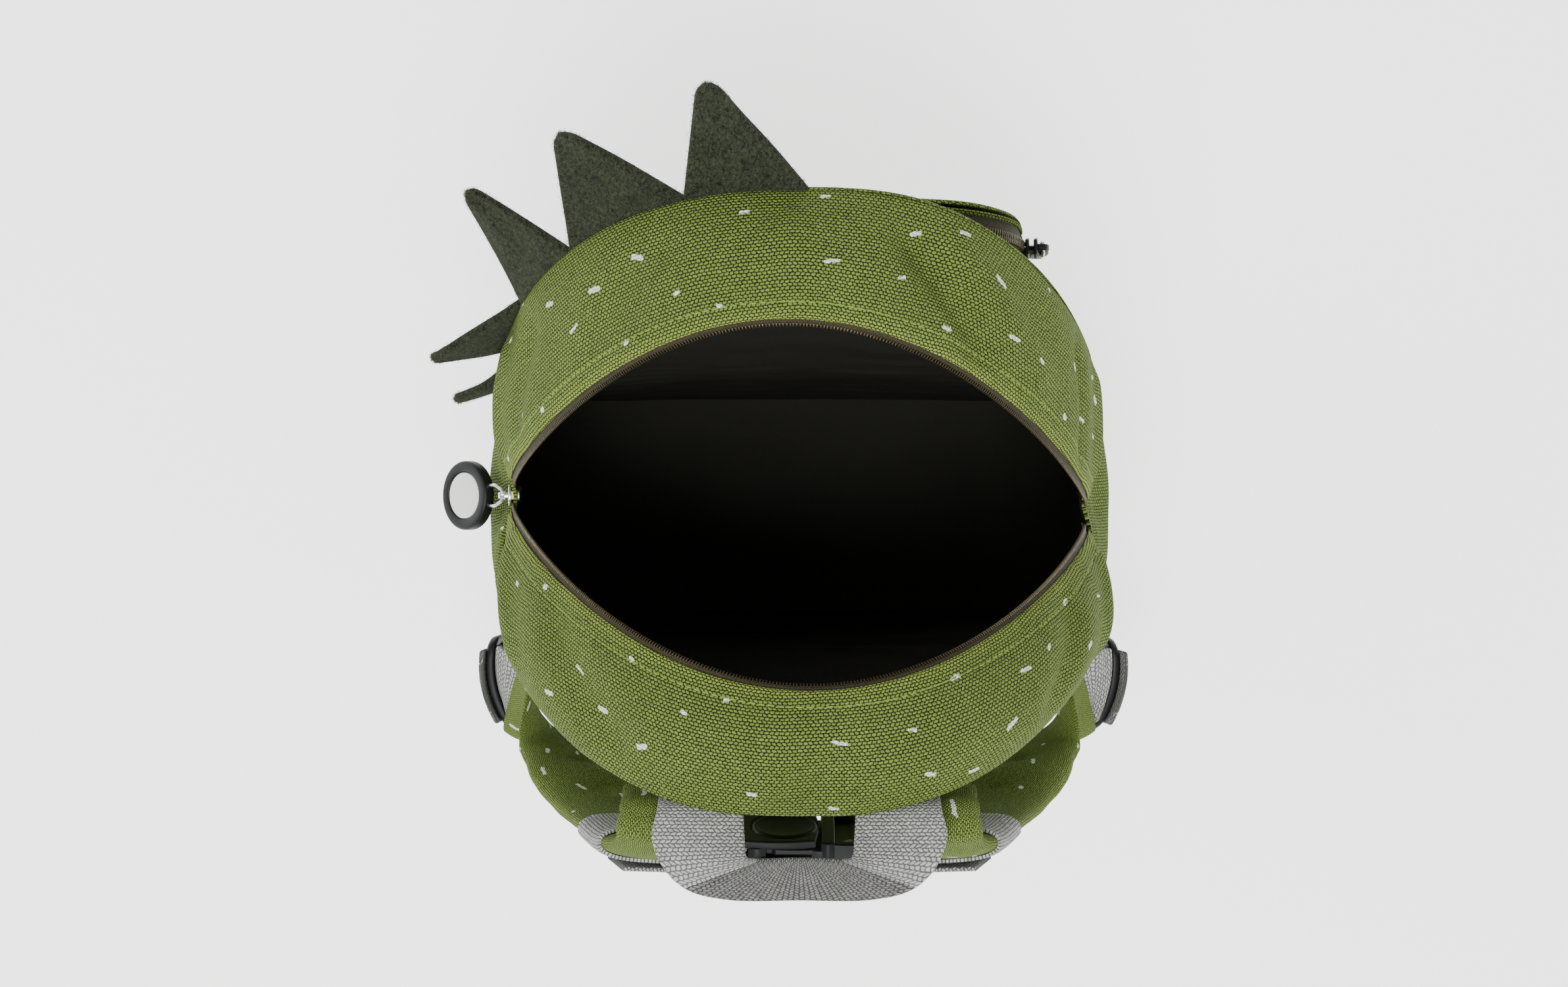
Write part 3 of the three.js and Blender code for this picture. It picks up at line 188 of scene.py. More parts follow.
def slab(name, outer, inner, uvs):
    """A closed block between two grids of the same shape, with walls round their edges."""
    rows, columns = outer.shape[:2]
    low = rows * columns
    faces = []
    for i in range(rows - 1):
        for j in range(columns - 1):
            a, d = i * columns + j, (i + 1) * columns + j
            faces += [(a, a + 1, d + 1, d), (low + a, low + d, low + d + 1, low + a + 1)]
        for j, turn in ((0, 1), (columns - 1, -1)):
            a, d = i * columns + j, (i + 1) * columns + j
            faces.append((a, d, low + d, low + a)[::turn])
    for j in range(columns - 1):
        for i, turn in ((0, -1), (rows - 1, 1)):
            a = i * columns + j
            faces.append((a, a + 1, low + a + 1, low + a)[::turn])
    points = np.concatenate([outer.reshape(-1, 3), inner.reshape(-1, 3)])
    return shell_mesh(name, points, faces, np.concatenate([uvs.reshape(-1, 2)] * 2))


def sheet(name, grid, thickness, face, uvs=None):
    """A sheet of cloth with its outer face on the grid; face is 1 or -1 for the outer side."""
    uvs = sheet_uvs(grid) if uvs is None else uvs
    return slab(name, grid, grid - face * thickness * grid_normals(grid), uvs)


def dish(name, line, spokes, rings, centre, depth, thickness, side, roll=EDGE_ROLL):
    """A panel spread inside an outline, thinning to nothing at its rim, where it is sewn."""
    share = -1 + 2 * (np.arange(spokes) + 0.5) / spokes
    rim_x, rim_z = outline_at(line, share)
    reach = 1 - (1 - np.arange(1, rings + 1) / rings) ** 1.3
    x = np.concatenate([[0], (reach[:, None] * rim_x).ravel()])
    z = np.concatenate([[centre], (centre + reach[:, None] * (rim_z - centre)).ravel()])
    span = np.hypot(rim_x, rim_z - centre)
    edge = np.concatenate([[1e3], ((1 - reach[:, None]) * span).ravel()])
    full = np.sqrt(1 - (1 - np.clip(edge / roll, 0, 1)) ** 2)
    y = depth(x, z)
    inner = np.stack([x, side * y, z], 1)
    outer = np.stack([x, side * (y + thickness * np.maximum(full, 0.02)), z], 1)
    low = len(x)
    faces = []
    for k in range(spokes):
        a, b = 1 + k, 1 + (k + 1) % spokes
        faces += [(0, a, b), (low, low + b, low + a)]
        for ring in range(rings - 1):
            p, q = a + ring * spokes, b + ring * spokes
            r, s = q + spokes, p + spokes
            faces += [(p, s, r, q), (low + p, low + q, low + r, low + s)]
        p, q = a + (rings - 1) * spokes, b + (rings - 1) * spokes
        faces.append((p, low + p, low + q, q))
    flat = np.stack([x, z], 1)
    return shell_mesh(name, np.concatenate([outer, inner]), faces, np.concatenate([flat, flat]))


def ripple(x, y, scale, seed):
    """A slow uneven wave between -1 and 1, for folds and puckers that follow no rule."""
    rng = np.random.default_rng(seed)
    total = np.zeros(np.broadcast(x, y).shape)
    for _ in range(6):
        angle, phase = rng.uniform(0, 2 * np.pi, 2)
        stretch = rng.uniform(0.6, 1.6) * 2 * np.pi / scale
        total = total + np.sin((x * np.cos(angle) + y * np.sin(angle)) * stretch + phase)
    return total / 6


def feed(tree, made, values):
    """Links sockets to a node's inputs and sets its plain ones."""
    for key, value in values.items():
        if isinstance(value, bpy.types.NodeSocket):
            tree.links.new(value, made.inputs[key])
        else:
            made.inputs[key].default_value = value
    return made


def node(tree, kind, inputs=None, **settings):
    made = tree.nodes.new(kind)
    for name, value in settings.items():
        setattr(made, name, value)
    return feed(tree, made, inputs or {})


def noise_at(tree, place, scale, detail, roughness=0.5):
    values = {"Vector": place, "Scale": scale, "Detail": detail, "Roughness": roughness}
    return node(tree, "ShaderNodeTexNoise", values)


def shift(tree, operation, first, second):
    """Vector arithmetic, as calc is for numbers."""
    key = "Scale" if operation == "SCALE" else 1
    return node(tree, "ShaderNodeVectorMath", {0: first, key: second}, operation=operation).outputs[0]


def calc(tree, operation, first, second=None, third=None, clamped=False):
    values = {i: v for i, v in enumerate((first, second, third)) if v is not None}
    return node(tree, "ShaderNodeMath", values, operation=operation, use_clamp=clamped).outputs[0]


def hump(tree, turns, power):
    """A row of rounded humps, one to each unit."""
    wave = calc(tree, "SINE", calc(tree, "MULTIPLY", turns, math.pi))
    return calc(tree, "POWER", calc(tree, "ABSOLUTE", wave), power)


def blend_colour(tree, share, first, second):
    return node(tree, "ShaderNodeMix", {0: share, 6: first, 7: second}, data_type="RGBA").outputs[2]


def new_group(name, inputs, outputs):
    tree = bpy.data.node_groups.new(name, "ShaderNodeTree")
    for label, kind, value in inputs:
        made = tree.interface.new_socket(label, in_out="INPUT", socket_type=kind)
        if value is not None:
            made.default_value = value
    for label, kind in outputs:
        tree.interface.new_socket(label, in_out="OUTPUT", socket_type=kind)
    return tree, tree.nodes.new("NodeGroupInput"), tree.nodes.new("NodeGroupOutput")


def use_group(tree, group, inputs):
    return node(tree, "ShaderNodeGroup", inputs, node_tree=group)


def rgb(code):
    """A linear colour from a six-figure screen colour."""
    parts = [int(code[i:i + 2], 16) / 255 for i in (0, 2, 4)]
    return tuple(p / 12.92 if p <= 0.04045 else ((p + 0.055) / 1.055) ** 2.4 for p in parts) + (1.0,)


FLOAT, VECTOR = "NodeSocketFloat", "NodeSocketVector"


def plain_weave_group():
    """Two sets of yarns, over one and under one: Height, Gap between yarns, and Tone of each crossing."""
    tree, given, out = new_group("plain weave", [
        ("Place", VECTOR, None), ("Pitch Along", FLOAT, 1.0), ("Pitch Across", FLOAT, 1.0), ("Slub", FLOAT,
                                                                                             0.2),
    ], [("Height", FLOAT), ("Gap", FLOAT), ("Tone", FLOAT)])
    wander = noise_at(tree, given.outputs["Place"], 0.11, 3.0)
    fine = noise_at(tree, given.outputs["Place"], 0.9, 2.0)
    centred = shift(tree, "SUBTRACT", wander.outputs["Color"], (0.5, 0.5, 0.5))
    nearby = shift(tree, "SUBTRACT", fine.outputs["Color"], (0.5, 0.5, 0.5))
    wide = shift(tree, "SCALE", centred, 2.2)
    close = shift(tree, "SCALE", nearby, given.outputs["Slub"])
    moved = shift(tree, "ADD", given.outputs["Place"], wide)
    shifted = shift(tree, "ADD", moved, close)
    parts = node(tree, "ShaderNodeSeparateXYZ", {0: shifted})
    u = calc(tree, "DIVIDE", parts.outputs[0], given.outputs["Pitch Along"])
    v = calc(tree, "DIVIDE", parts.outputs[1], given.outputs["Pitch Across"])
    ui, vi = calc(tree, "FLOOR", u), calc(tree, "FLOOR", v)

    def yarn(across, along, index, sign):
        body = hump(tree, across, 0.6)
        wave = calc(tree, "COSINE", calc(tree, "MULTIPLY", calc(tree, "SUBTRACT", along, 0.5), math.pi))
        turn = calc(tree, "SUBTRACT", 1.0, calc(tree, "MULTIPLY", calc(tree, "PINGPONG", index, 1.0), 2.0))
        lift = calc(tree, "MULTIPLY_ADD", calc(tree, "MULTIPLY", wave, turn), 0.42 * sign, 0.58)
        return calc(tree, "MULTIPLY", body, lift)

    warp = yarn(u, v, ui, 1)
    weft = yarn(v, u, vi, -1)
    height = calc(tree, "MAXIMUM", warp, weft)
    gap = node(tree, "ShaderNodeMapRange", {0: height, 1: 0.92, 2: 0.5, 3: 0.0, 4: 1.0},
               interpolation_type="SMOOTHSTEP")
    cell = node(tree, "ShaderNodeCombineXYZ", {0: ui, 1: vi})
    tone = node(tree, "ShaderNodeTexWhiteNoise", {"Vector": cell.outputs[0]}, noise_dimensions="2D")
    tree.links.new(height, out.inputs["Height"])
    tree.links.new(gap.outputs[0], out.inputs["Gap"])
    tree.links.new(tone.outputs["Value"], out.inputs["Tone"])
    return tree


def staggered_weave_group():
    """Floats in staggered rows, a little slanted, as on coarse cloth and webbing: Height, Gap and Tone."""
    tree, given, out = new_group("staggered weave", [
        ("Place", VECTOR, None), ("Pitch Along", FLOAT, 1.3), ("Pitch Across", FLOAT, 0.9),
        ("Slant", FLOAT, 0.35),
    ], [("Height", FLOAT), ("Gap", FLOAT), ("Tone", FLOAT)])
    noise = noise_at(tree, given.outputs["Place"], 0.8, 3.0)
    centred = shift(tree, "SUBTRACT", noise.outputs["Color"], (0.5, 0.5, 0.5))
    loose = shift(tree, "SCALE", centred, 0.9)
    moved = shift(tree, "ADD", given.outputs["Place"], loose)
    parts = node(tree, "ShaderNodeSeparateXYZ", {0: moved})
    v = calc(tree, "DIVIDE", parts.outputs[1], given.outputs["Pitch Across"])
    column = calc(tree, "FLOOR", v)
    turn = calc(tree, "SUBTRACT", 1.0, calc(tree, "MULTIPLY", calc(tree, "PINGPONG", column, 1.0), 2.0))
    part = calc(tree, "SUBTRACT", calc(tree, "FRACT", v), 0.5)
    slanted = calc(tree, "MULTIPLY", calc(tree, "MULTIPLY", part, turn), given.outputs["Slant"])
    along = calc(tree, "DIVIDE", parts.outputs[0], given.outputs["Pitch Along"])
    u = calc(tree, "ADD", calc(tree, "MULTIPLY_ADD", turn, 0.25, along), slanted)
    ridge = hump(tree, u, 0.55)
    barrel = hump(tree, v, 0.5)
    height = calc(tree, "MULTIPLY", ridge, barrel)
    gap = node(tree, "ShaderNodeMapRange", {0: height, 1: 0.75, 2: 0.3, 3: 0.0, 4: 1.0},
               interpolation_type="SMOOTHSTEP")
    cell = node(tree, "ShaderNodeCombineXYZ", {0: calc(tree, "FLOOR", u), 1: column})
    tone = node(tree, "ShaderNodeTexWhiteNoise", {"Vector": cell.outputs[0]}, noise_dimensions="2D")
    tree.links.new(height, out.inputs["Height"])
    tree.links.new(gap.outputs[0], out.inputs["Gap"])
    tree.links.new(tone.outputs["Value"], out.inputs["Tone"])
    return tree


def brush_dash_group():
    """Short hand-brushed dashes, one to a patch of cloth, each a little turned and uneven."""
    tree, given, out = new_group("brush dashes", [
        ("Place", VECTOR, None), ("Spacing", FLOAT, 20.0), ("Length", FLOAT, 4.0), ("Width", FLOAT, 1.4),
        ("Turn", FLOAT, 0.4),
    ], [("Mask", FLOAT)])
    cells = shift(tree, "DIVIDE", given.outputs["Place"], given.outputs["Spacing"])
    spots = node(tree, "ShaderNodeTexVoronoi", {"Vector": cells, "Scale": 1.0, "Randomness": 0.8},
                 voronoi_dimensions="2D", feature="F1")
    away = shift(tree, "SUBTRACT", cells, spots.outputs["Position"])
    local = shift(tree, "MULTIPLY", away, given.outputs["Spacing"])
    dice = node(tree, "ShaderNodeSeparateColor", {0: spots.outputs["Color"]})
    angle = calc(tree, "MULTIPLY", calc(tree, "SUBTRACT", dice.outputs[0], 0.5), given.outputs["Turn"])
    turned = node(tree, "ShaderNodeVectorRotate", {"Vector": local, "Angle": angle}, rotation_type="Z_AXIS")
    parts = node(tree, "ShaderNodeSeparateXYZ", {0: turned.outputs[0]})
    half = calc(tree, "MULTIPLY", given.outputs["Length"],
                calc(tree, "MULTIPLY_ADD", dice.outputs[2], 0.34, 0.06))
    end = calc(tree, "MAXIMUM", calc(tree, "SUBTRACT", calc(tree, "ABSOLUTE", parts.outputs[0]), half), 0.0)
    far = calc(tree, "SQRT", calc(tree, "ADD", calc(tree, "MULTIPLY", end, end),
                                  calc(tree, "MULTIPLY", parts.outputs[1], parts.outputs[1])))
    rough = noise_at(tree, given.outputs["Place"], 0.75, 3.0)
    ragged = calc(tree, "MULTIPLY_ADD", calc(tree, "SUBTRACT", rough.outputs[0], 0.5), 1.5, far)
    edge = calc(tree, "SUBTRACT", ragged, calc(tree, "MULTIPLY", given.outputs["Width"], calc(
        tree, "MULTIPLY_ADD", dice.outputs[1], 0.3, 0.36)))
    mask = node(tree, "ShaderNodeMapRange", {0: edge, 1: 0.1, 2: -0.1, 3: 0.0, 4: 1.0})
    tree.links.new(mask.outputs[0], out.inputs["Mask"])
    return tree


plain_weave = plain_weave_group()
staggered_weave = staggered_weave_group()
brush_dashes = brush_dash_group()


def cloth_place(tree):
    """The piece's own cloth coordinates in millimetres."""
    flat = node(tree, "ShaderNodeUVMap", uv_map="cloth")
    return shift(tree, "SCALE", flat.outputs[0], 1 / MM)


def new_material(name):
    made = bpy.data.materials.new(name)
    made.use_nodes = True
    tree = made.node_tree
    return made, tree, tree.nodes["Principled BSDF"]


def surface(tree, skin, colour, height, strength, distance, others):
    """Gives a shader its colour and bump, and whatever else it needs."""
    bump = node(tree, "ShaderNodeBump", {"Height": height, "Strength": strength, "Distance": distance})
    feed(tree, skin, {"Base Color": colour, "Normal": bump.outputs[0], **others})


def canvas_material(name, light, dark, gap, dash_spacing, pitch):
    """Coarse woven canvas, with a white brushed print that catches only the tops of the yarns."""
    made, tree, skin = new_material(name)
    place = cloth_place(tree)
    weave = use_group(tree, staggered_weave,
                      {"Place": place, "Pitch Along": pitch[0], "Pitch Across": pitch[1],
                       "Slant": 0.22})
    broad = noise_at(tree, place, 0.035, 3.0)
    streaks = node(tree, "ShaderNodeMapping", {"Vector": place, "Scale": (0.05, 1.1, 1.0)})
    yarns = noise_at(tree, streaks.outputs[0], 1.0, 2.0)
    tone = calc(tree, "ADD", calc(tree, "MULTIPLY", weave.outputs["Tone"], 0.35),
                calc(tree, "MULTIPLY", broad.outputs[0], 0.5))
    tone = calc(tree, "MULTIPLY_ADD", yarns.outputs[0], 0.35, tone)
    face = blend_colour(tree, calc(tree, "MULTIPLY", tone, 0.85, clamped=True), light, dark)
    # Painted highlight: a lighter yellow-green band along the zip lips, read from a point attribute, stands
    # in for light caught by the rolled lip.
    edge = node(tree, "ShaderNodeAttribute", attribute_name="painted lip highlight")
    face = blend_colour(tree, calc(tree, "MULTIPLY", edge.outputs["Fac"], 0.75), face, rgb("a3b64d"))
    woven = blend_colour(tree, weave.outputs["Gap"], face, gap)
    dash = use_group(tree, brush_dashes,
                     {"Place": place, "Spacing": dash_spacing, "Length": 6.2, "Width": 1.5, "Turn": 0.8})
    held = calc(tree, "MULTIPLY", dash.outputs["Mask"], calc(
        tree, "MULTIPLY_ADD", weave.outputs["Gap"], -0.35, 1.0, clamped=True))
    printed = blend_colour(tree, held, woven, PRINT_WHITE)
    fuzz = noise_at(tree, place, 6.0, 3.0)
    height = calc(tree, "MULTIPLY_ADD", fuzz.outputs[0], 0.25, weave.outputs["Height"])
    surface(tree, skin, printed, height, 0.9, 0.0007, {
        "Roughness": 0.92, "Specular IOR Level": 0.2, "Sheen Weight": 0.12, "Sheen Roughness": 0.5,
        "Sheen Tint": light,
    })
    return made


PRINT_WHITE = rgb("f6f7f0")
canvas = canvas_material("printed canvas", rgb("859b48"), rgb("5a6e28"), rgb("121909"), 27.0,
                         pitch=(1.75, 1.2))


def coloured(thing, material):
    thing.data.materials.clear()
    thing.data.materials.append(material)
    return thing


def finish_piece(thing, material, bodies, nodes=()):
    if material is not None:
        coloured(thing, material)
    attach(thing, bodies)
    if nodes:
        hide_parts(*nodes)
    return thing


def buckled(side):
    return lambda x, z: panel_depth(side, x, z) + 0.9 * ripple(x, z, 90, 3 + side) * np.clip(z / 60, 0, 1)


PANEL_CENTRE = SEAM_TOP * 0.42
front_cloth = dish("front_panel_cloth", body_line, 260, 46, PANEL_CENTRE, buckled(FRONT), CLOTH, FRONT)
finish_piece(front_cloth, canvas, "bag", ["front_panel"])
back_cloth = dish("back_panel_cloth", body_line, 260, 46, PANEL_CENTRE,
                  buckled(BACK), BACK_PADDING, BACK, 7)
finish_piece(back_cloth, canvas, "bag", ["back_panel"])


# The two zip gussets are long strips of the same canvas between the panels and
# the zip. They belly out where the mouth closes towards the zip's ends, roll over
# there, and are topstitched along the zip.
ZIP_END_HEIGHT = 140
MOUTH_HALF_DEPTH, MOUTH_HALF_LENGTH, LIP_HALF_GAP = 62, 112, 5.2
MOUTH_RISE, MOUTH_SKEW, MOUTH_POWER = 3, 3.6, 0.95
ZIP_GUSSET_CLOTH, LEAST_SLACK, GUSSET_LENGTH = 49, 0.6, 250
SEAM_TUCK = 0.5
GUSSET_SETBACKS = {FRONT: 0.2, BACK: -1.6}
zip_share = share_at_height(body_line, ZIP_END_HEIGHT)


def lip_point(side, q):
    across = np.sin(np.pi / 2 * np.abs(q) ** MOUTH_POWER)
    depth = LIP_HALF_GAP + (MOUTH_HALF_DEPTH - LIP_HALF_GAP) * np.clip(1 - across ** 2, 0, 1) ** MOUTH_POWER
    x = np.sign(q) * across * MOUTH_HALF_LENGTH
    _, z = outline_at(body_line, q * zip_share)
    return np.stack([x, side * depth - MOUTH_SKEW * x / MOUTH_HALF_LENGTH,
                     z + MOUTH_RISE * (1 - np.abs(q))], -1)


def belly_over(chord, cloth=ZIP_GUSSET_CLOTH):
    return np.sqrt(0.375 * chord * np.maximum(cloth - chord, LEAST_SLACK))


HELD_SHARES = {FRONT: (0.66, 0.84), BACK: (0.42, 0.58)}


def held_in(side, q):
    """How far the strip bellies, less towards the zip's ends, where it is pulled in."""
    near_end = np.clip((np.abs(q) - 0.5) / 0.4, 0, 1)
    at_left, at_right = HELD_SHARES[side]
    return 1 - np.where(q > 0, at_left, at_right) * near_end * near_end * (3 - 2 * near_end)


def gusset_point(side, q, v, setback=2.3):
    q, v = np.broadcast_arrays(np.asarray(q, float), np.asarray(v, float))
    share = q * zip_share
    x, z = outline_at(body_line, share)
    out_x, out_z = outline_out(body_line, share)
    seam = np.stack([x, side * (seam_depth(side, x, z) - setback), z], -1)
    lip = lip_point(side, q)
    belly = belly_over(np.linalg.norm(seam - lip, axis=-1)) * 4 * v * (1 - v) * held_in(side, q)
    outward = np.stack([out_x, np.zeros_like(out_x), out_z], -1)
    return seam + (lip - seam) * v[..., None] + outward * belly[..., None]


def crease(q, v, start, end, width, height):
    """A soft furrow or ridge between two places on the strip, given as (q, v)."""
    (q0, v0), (q1, v1) = start, end
    along = np.array([(q1 - q0) * GUSSET_LENGTH, (v1 - v0) * ZIP_GUSSET_CLOTH])
    length = np.hypot(*along)
    along /= length
    dq, dv = (q - q0) * GUSSET_LENGTH, (v - v0) * ZIP_GUSSET_CLOTH
    run = dq * along[0] + dv * along[1]
    off = -dq * along[1] + dv * along[0]
    ends = np.clip(np.minimum(run, length - run) / (length * 0.3) + 0.5, 0, 1)
    return height * np.exp(-(off / width) ** 2) * ends * ends * (3 - 2 * ends)


FOLD_DEPTH = 2.3
GUSSET_CREASES = {
    FRONT: [
        ((-0.16, 0.25), (-0.36, 0.9), 7, -1.9), ((-0.26, 0.2), (-0.5, 0.8), 9, 1.2),
        ((0.2, 0.25), (0.42, 0.8), 9, -0.9), ((0.55, 0.3), (0.75, 0.85), 7, -1.4),
        ((0.72, 0.1), (0.9, 0.8), 6, 1.5),
        ((-0.6, 0.2), (-0.74, 0.9), 7, -1.5), ((-0.78, 0.1), (-0.92, 0.8), 6, 1.6),
        ((0.02, 0.2), (-0.05, 0.7), 11, 0.8),
    ],
    BACK: [
        ((0.3, 0.2), (0.52, 0.85), 9, -1.3), ((0.6, 0.2), (0.8, 0.9), 7, 1.5),
        ((-0.45, 0.2), (-0.6, 0.9), 8, -1.6),
        ((-0.7, 0.15), (-0.86, 0.9), 6, 1.6), ((0.0, 0.1), (-0.2, 0.8), 12, -0.9),
        ((0.82, 0.1), (0.94, 0.8), 5, -1.4),
    ],
}


def gusset_ripple(q, v, scale, seed):
    """Unevenness over a zip gusset's cloth as it lies flat."""
    return ripple(q * GUSSET_LENGTH, v * ZIP_GUSSET_CLOTH, scale, seed)


def dressed_gusset(side, q, v):
    """The strip with its seam tucked in, its folds, and the lip turned over the zip tape."""
    base = gusset_point(side, q, v, GUSSET_SETBACKS[side])
    face = -side * grid_normals(base)
    tuck = -SEAM_TUCK * np.clip(1 - v / 0.05, 0, 1) ** 2
    middle = np.sin(np.pi * np.clip(v, 0, 1))
    slack = middle * (0.5 * gusset_ripple(q, v, 60, 11 + side) + 0.25 * gusset_ripple(q, v, 22, 21 + side))
    pucker = 0.28 * np.exp(-((v - 0.87) / 0.05) ** 2) * ripple(q * GUSSET_LENGTH, v * 12, 9, 31 + side)
    sewn = -0.45 * np.exp(-((v - 0.865) / 0.012) ** 2)
    lip = -0.9 * np.clip((v - 0.965) / 0.035, 0, 1) ** 2
    folds = FOLD_DEPTH * sum(crease(q, v, *row) for row in GUSSET_CREASES[side]) * middle ** 0.5
    return base + face * (tuck + slack + pucker + sewn + lip + folds)[..., None]


zip_gussets = {}
for label, side in (("front", FRONT), ("back", BACK)):
    q, v = np.meshgrid(np.linspace(-1, 1, 520), np.linspace(0, 1, 64), indexing="ij")
    grid = dressed_gusset(side, q, v)
    zip_gussets[side] = sheet(f"zip_gusset_{label}_cloth", grid, CLOTH * 0.7, -side)
    # Painted highlight along each lip: strongest at the lip and fading within a few millimetres, where the
    # rolled edge catches the light.
    lip_highlight = zip_gussets[side].data.attributes.new("painted lip highlight", "FLOAT", "POINT")
    strength = np.exp(-((1 - v) / 0.07) ** 2) * (0.75 + 0.25 * gusset_ripple(q, v, 30, 15))
    lip_highlight.data.foreach_set("value", np.concatenate([strength.ravel()] * 2))
    finish_piece(zip_gussets[side], canvas, "bag", [f"zip_gusset_{label}"])


# The lower gusset is one strip that runs down one side, under the base and up the
# other side. Below the zip's ends it gathers into two soft lobes and then lies flat.
SIDE_PUFF, LOBE_LENGTH, CLIMB_TUCK, LOWER_LENGTH = 9, 18, 2.4, 560
PUFF_HEIGHTS = (0, 0.06, 0.2, 0.4, 0.75, 1)
PUFF_SHARES = (0, 0, 0.35, 0.72, 1, 1)
lobe_height = float(belly_over(BASE_DEPTH / 2 - LIP_HALF_GAP))


def lower_point(t, v, setback=0.8):
    t, v = np.broadcast_arrays(np.asarray(t, float), np.asarray(v, float))
    share = zip_share + t * 2 * (1 - zip_share)
    x, z = outline_at(body_line, share)
    out_x, out_z = outline_out(body_line, share)
    near = -(seam_depth(FRONT, x, z) - setback)
    far = seam_depth(BACK, x, z) - setback
    lobe = np.abs(2 * v - 1)
    settled = np.clip((ZIP_END_HEIGHT - z) / LOBE_LENGTH, 0, 1)
    settled = settled * settled * (3 - 2 * settled)
    end = np.where(t < 0.5, 1.0, -1.0)
    held = np.where(v < 0.5, held_in(FRONT, end), held_in(BACK, end))
    gathered = lobe_height * held * 4 * lobe * (1 - lobe) * (1 - settled)
    puff = gathered + SIDE_PUFF * (1 - lobe ** 2.5) * settled
    puff = puff * np.interp(z / ZIP_END_HEIGHT, PUFF_HEIGHTS, PUFF_SHARES)
    return np.stack([x + out_x * puff, near + (far - near) * v, z + out_z * puff], -1)


def lower_ripple(t, v, scale, seed):
    """Unevenness over the lower gusset's cloth as it lies flat."""
    return ripple(t * LOWER_LENGTH, v * BASE_DEPTH, scale, seed)


t, v = np.meshgrid(np.linspace(-0.03, 1.03, 440), np.linspace(0, 1, 72), indexing="ij")
base = lower_point(t, v, 0.1)
away = grid_normals(base)
climb = np.clip(np.maximum(-t, t - 1) / 0.012, 0, 1)
standing = np.clip((base[..., 2:3] - 8) / 30, 0, 1)
wrinkle = lower_ripple(t, v, 70, 5) + 0.5 * lower_ripple(t, v, 30, 6)
near_seams = np.exp(-(v / 0.06) ** 2) + np.exp(-((1 - v) / 0.06) ** 2)
seam_pull = 0.35 * near_seams * ripple(t * LOWER_LENGTH, v * 20, 10, 7)
tucked = -SEAM_TUCK * (np.clip(1 - v / 0.03, 0, 1) ** 2 + np.clip(1 - (1 - v) / 0.03, 0, 1) ** 2)
raised = (wrinkle + seam_pull)[..., None] * standing
grid = base + away * (raised + tucked[..., None] * np.clip(base[..., 2:3] / 3, 0, 1))
grid = grid - away * (CLIMB_TUCK * climb)[..., None]
lower_cloth = sheet("lower_gusset_cloth", grid, CLOTH * 0.8, 1)
finish_piece(lower_cloth, canvas, "bag", ["lower_gusset"])


# The lining is a thin black cloth bag inside the canvas, with loose folds that
# only just catch the light.
LINING_DEPTH = 3.0


def lining_material():
    made, tree, skin = new_material("black lining")
    place = cloth_place(tree)
    fine = use_group(tree, plain_weave,
                     {"Place": place, "Pitch Along": 0.34, "Pitch Across": 0.34, "Slub": 0.06})
    broad = noise_at(tree, place, 0.02, 4.0)
    face = blend_colour(tree, broad.outputs[0], rgb("22221d"), rgb("2d2d26"))
    woven = blend_colour(tree, calc(tree, "MULTIPLY", fine.outputs["Gap"], 0.5), face, rgb("151512"))
    surface(tree, skin, woven, fine.outputs["Height"], 0.3, 0.0001,
            {"Roughness": 0.8, "Specular IOR Level": 0.15})
    return made


lining_cloth = lining_material()


def lining_panel(side):
    def depth(x, z):
        folds = 1.6 * ripple(x, z, 80, 41 + side) + 0.8 * ripple(x, z * 2, 34, 43 + side)
        hem = np.clip((half_width_at(z, **BODY) - np.abs(x)) / 25, 0, 1) * np.clip(z / 25, 0, 1)
        return panel_depth(side, x, z) - LINING_DEPTH - (1.2 + np.maximum(folds, -1)) * hem
    return depth


for label, side in (("front", FRONT), ("back", BACK)):
    made = dish(f"lining_{label}_cloth", body_line, 200, 40, PANEL_CENTRE,
                lining_panel(side), 0.6, side, 0.6)
    finish_piece(made, lining_cloth, "bag", [f"lining_{label}"])
    q, v = np.meshgrid(np.linspace(-1, 1, 300), np.linspace(0.0, 0.99, 24), indexing="ij")
    base = gusset_point(side, q, v, GUSSET_SETBACKS[side])
    inner = side * grid_normals(base)
    drop = LINING_DEPTH + (3.2 + 0.6 * gusset_ripple(q, v, 40, 51 + side)) * np.sin(np.pi * v)
    made = sheet(f"lining_zip_{label}_cloth", base + inner * drop[..., None], 0.6, -side)
    finish_piece(made, lining_cloth, "bag", [f"lining_zip_{label}"])
t, v = np.meshgrid(np.linspace(0, 1, 260), np.linspace(0, 1, 36), indexing="ij")
base = lower_point(t, v)
drop = LINING_DEPTH + (1 + lower_ripple(t, v, 60, 57)) * np.sin(np.pi * v) ** 0.5
made = sheet("lining_lower_cloth", base - grid_normals(base) * drop[..., None], 0.6, 1)
finish_piece(made, lining_cloth, "bag", ["lining_lower"])


# The main zip is olive-brown woven tape sewn under each lip, with a row of metal
# teeth clamped on its edge. Each row is dull metal, set tooth by tooth along the lip.
TAPE_DROP, TOOTH_PITCH = 1.5, 1.15
TEETH_SET_OUT, TEETH_DROP = 1.9, 1.5


def tape_material():
    made, tree, skin = new_material("olive-brown zip tape")
    place = cloth_place(tree)
    weave = use_group(tree, plain_weave,
                      {"Place": place, "Pitch Along": 0.5, "Pitch Across": 0.42, "Slub": 0.08})
    face = blend_colour(tree, weave.outputs["Tone"], rgb("54481f"), rgb("3b3217"))
    woven = blend_colour(tree, weave.outputs["Gap"], face, rgb("0f0d07"))
    surface(tree, skin, woven, weave.outputs["Height"], 0.7, 0.0002, {"Roughness": 0.8})
    return made


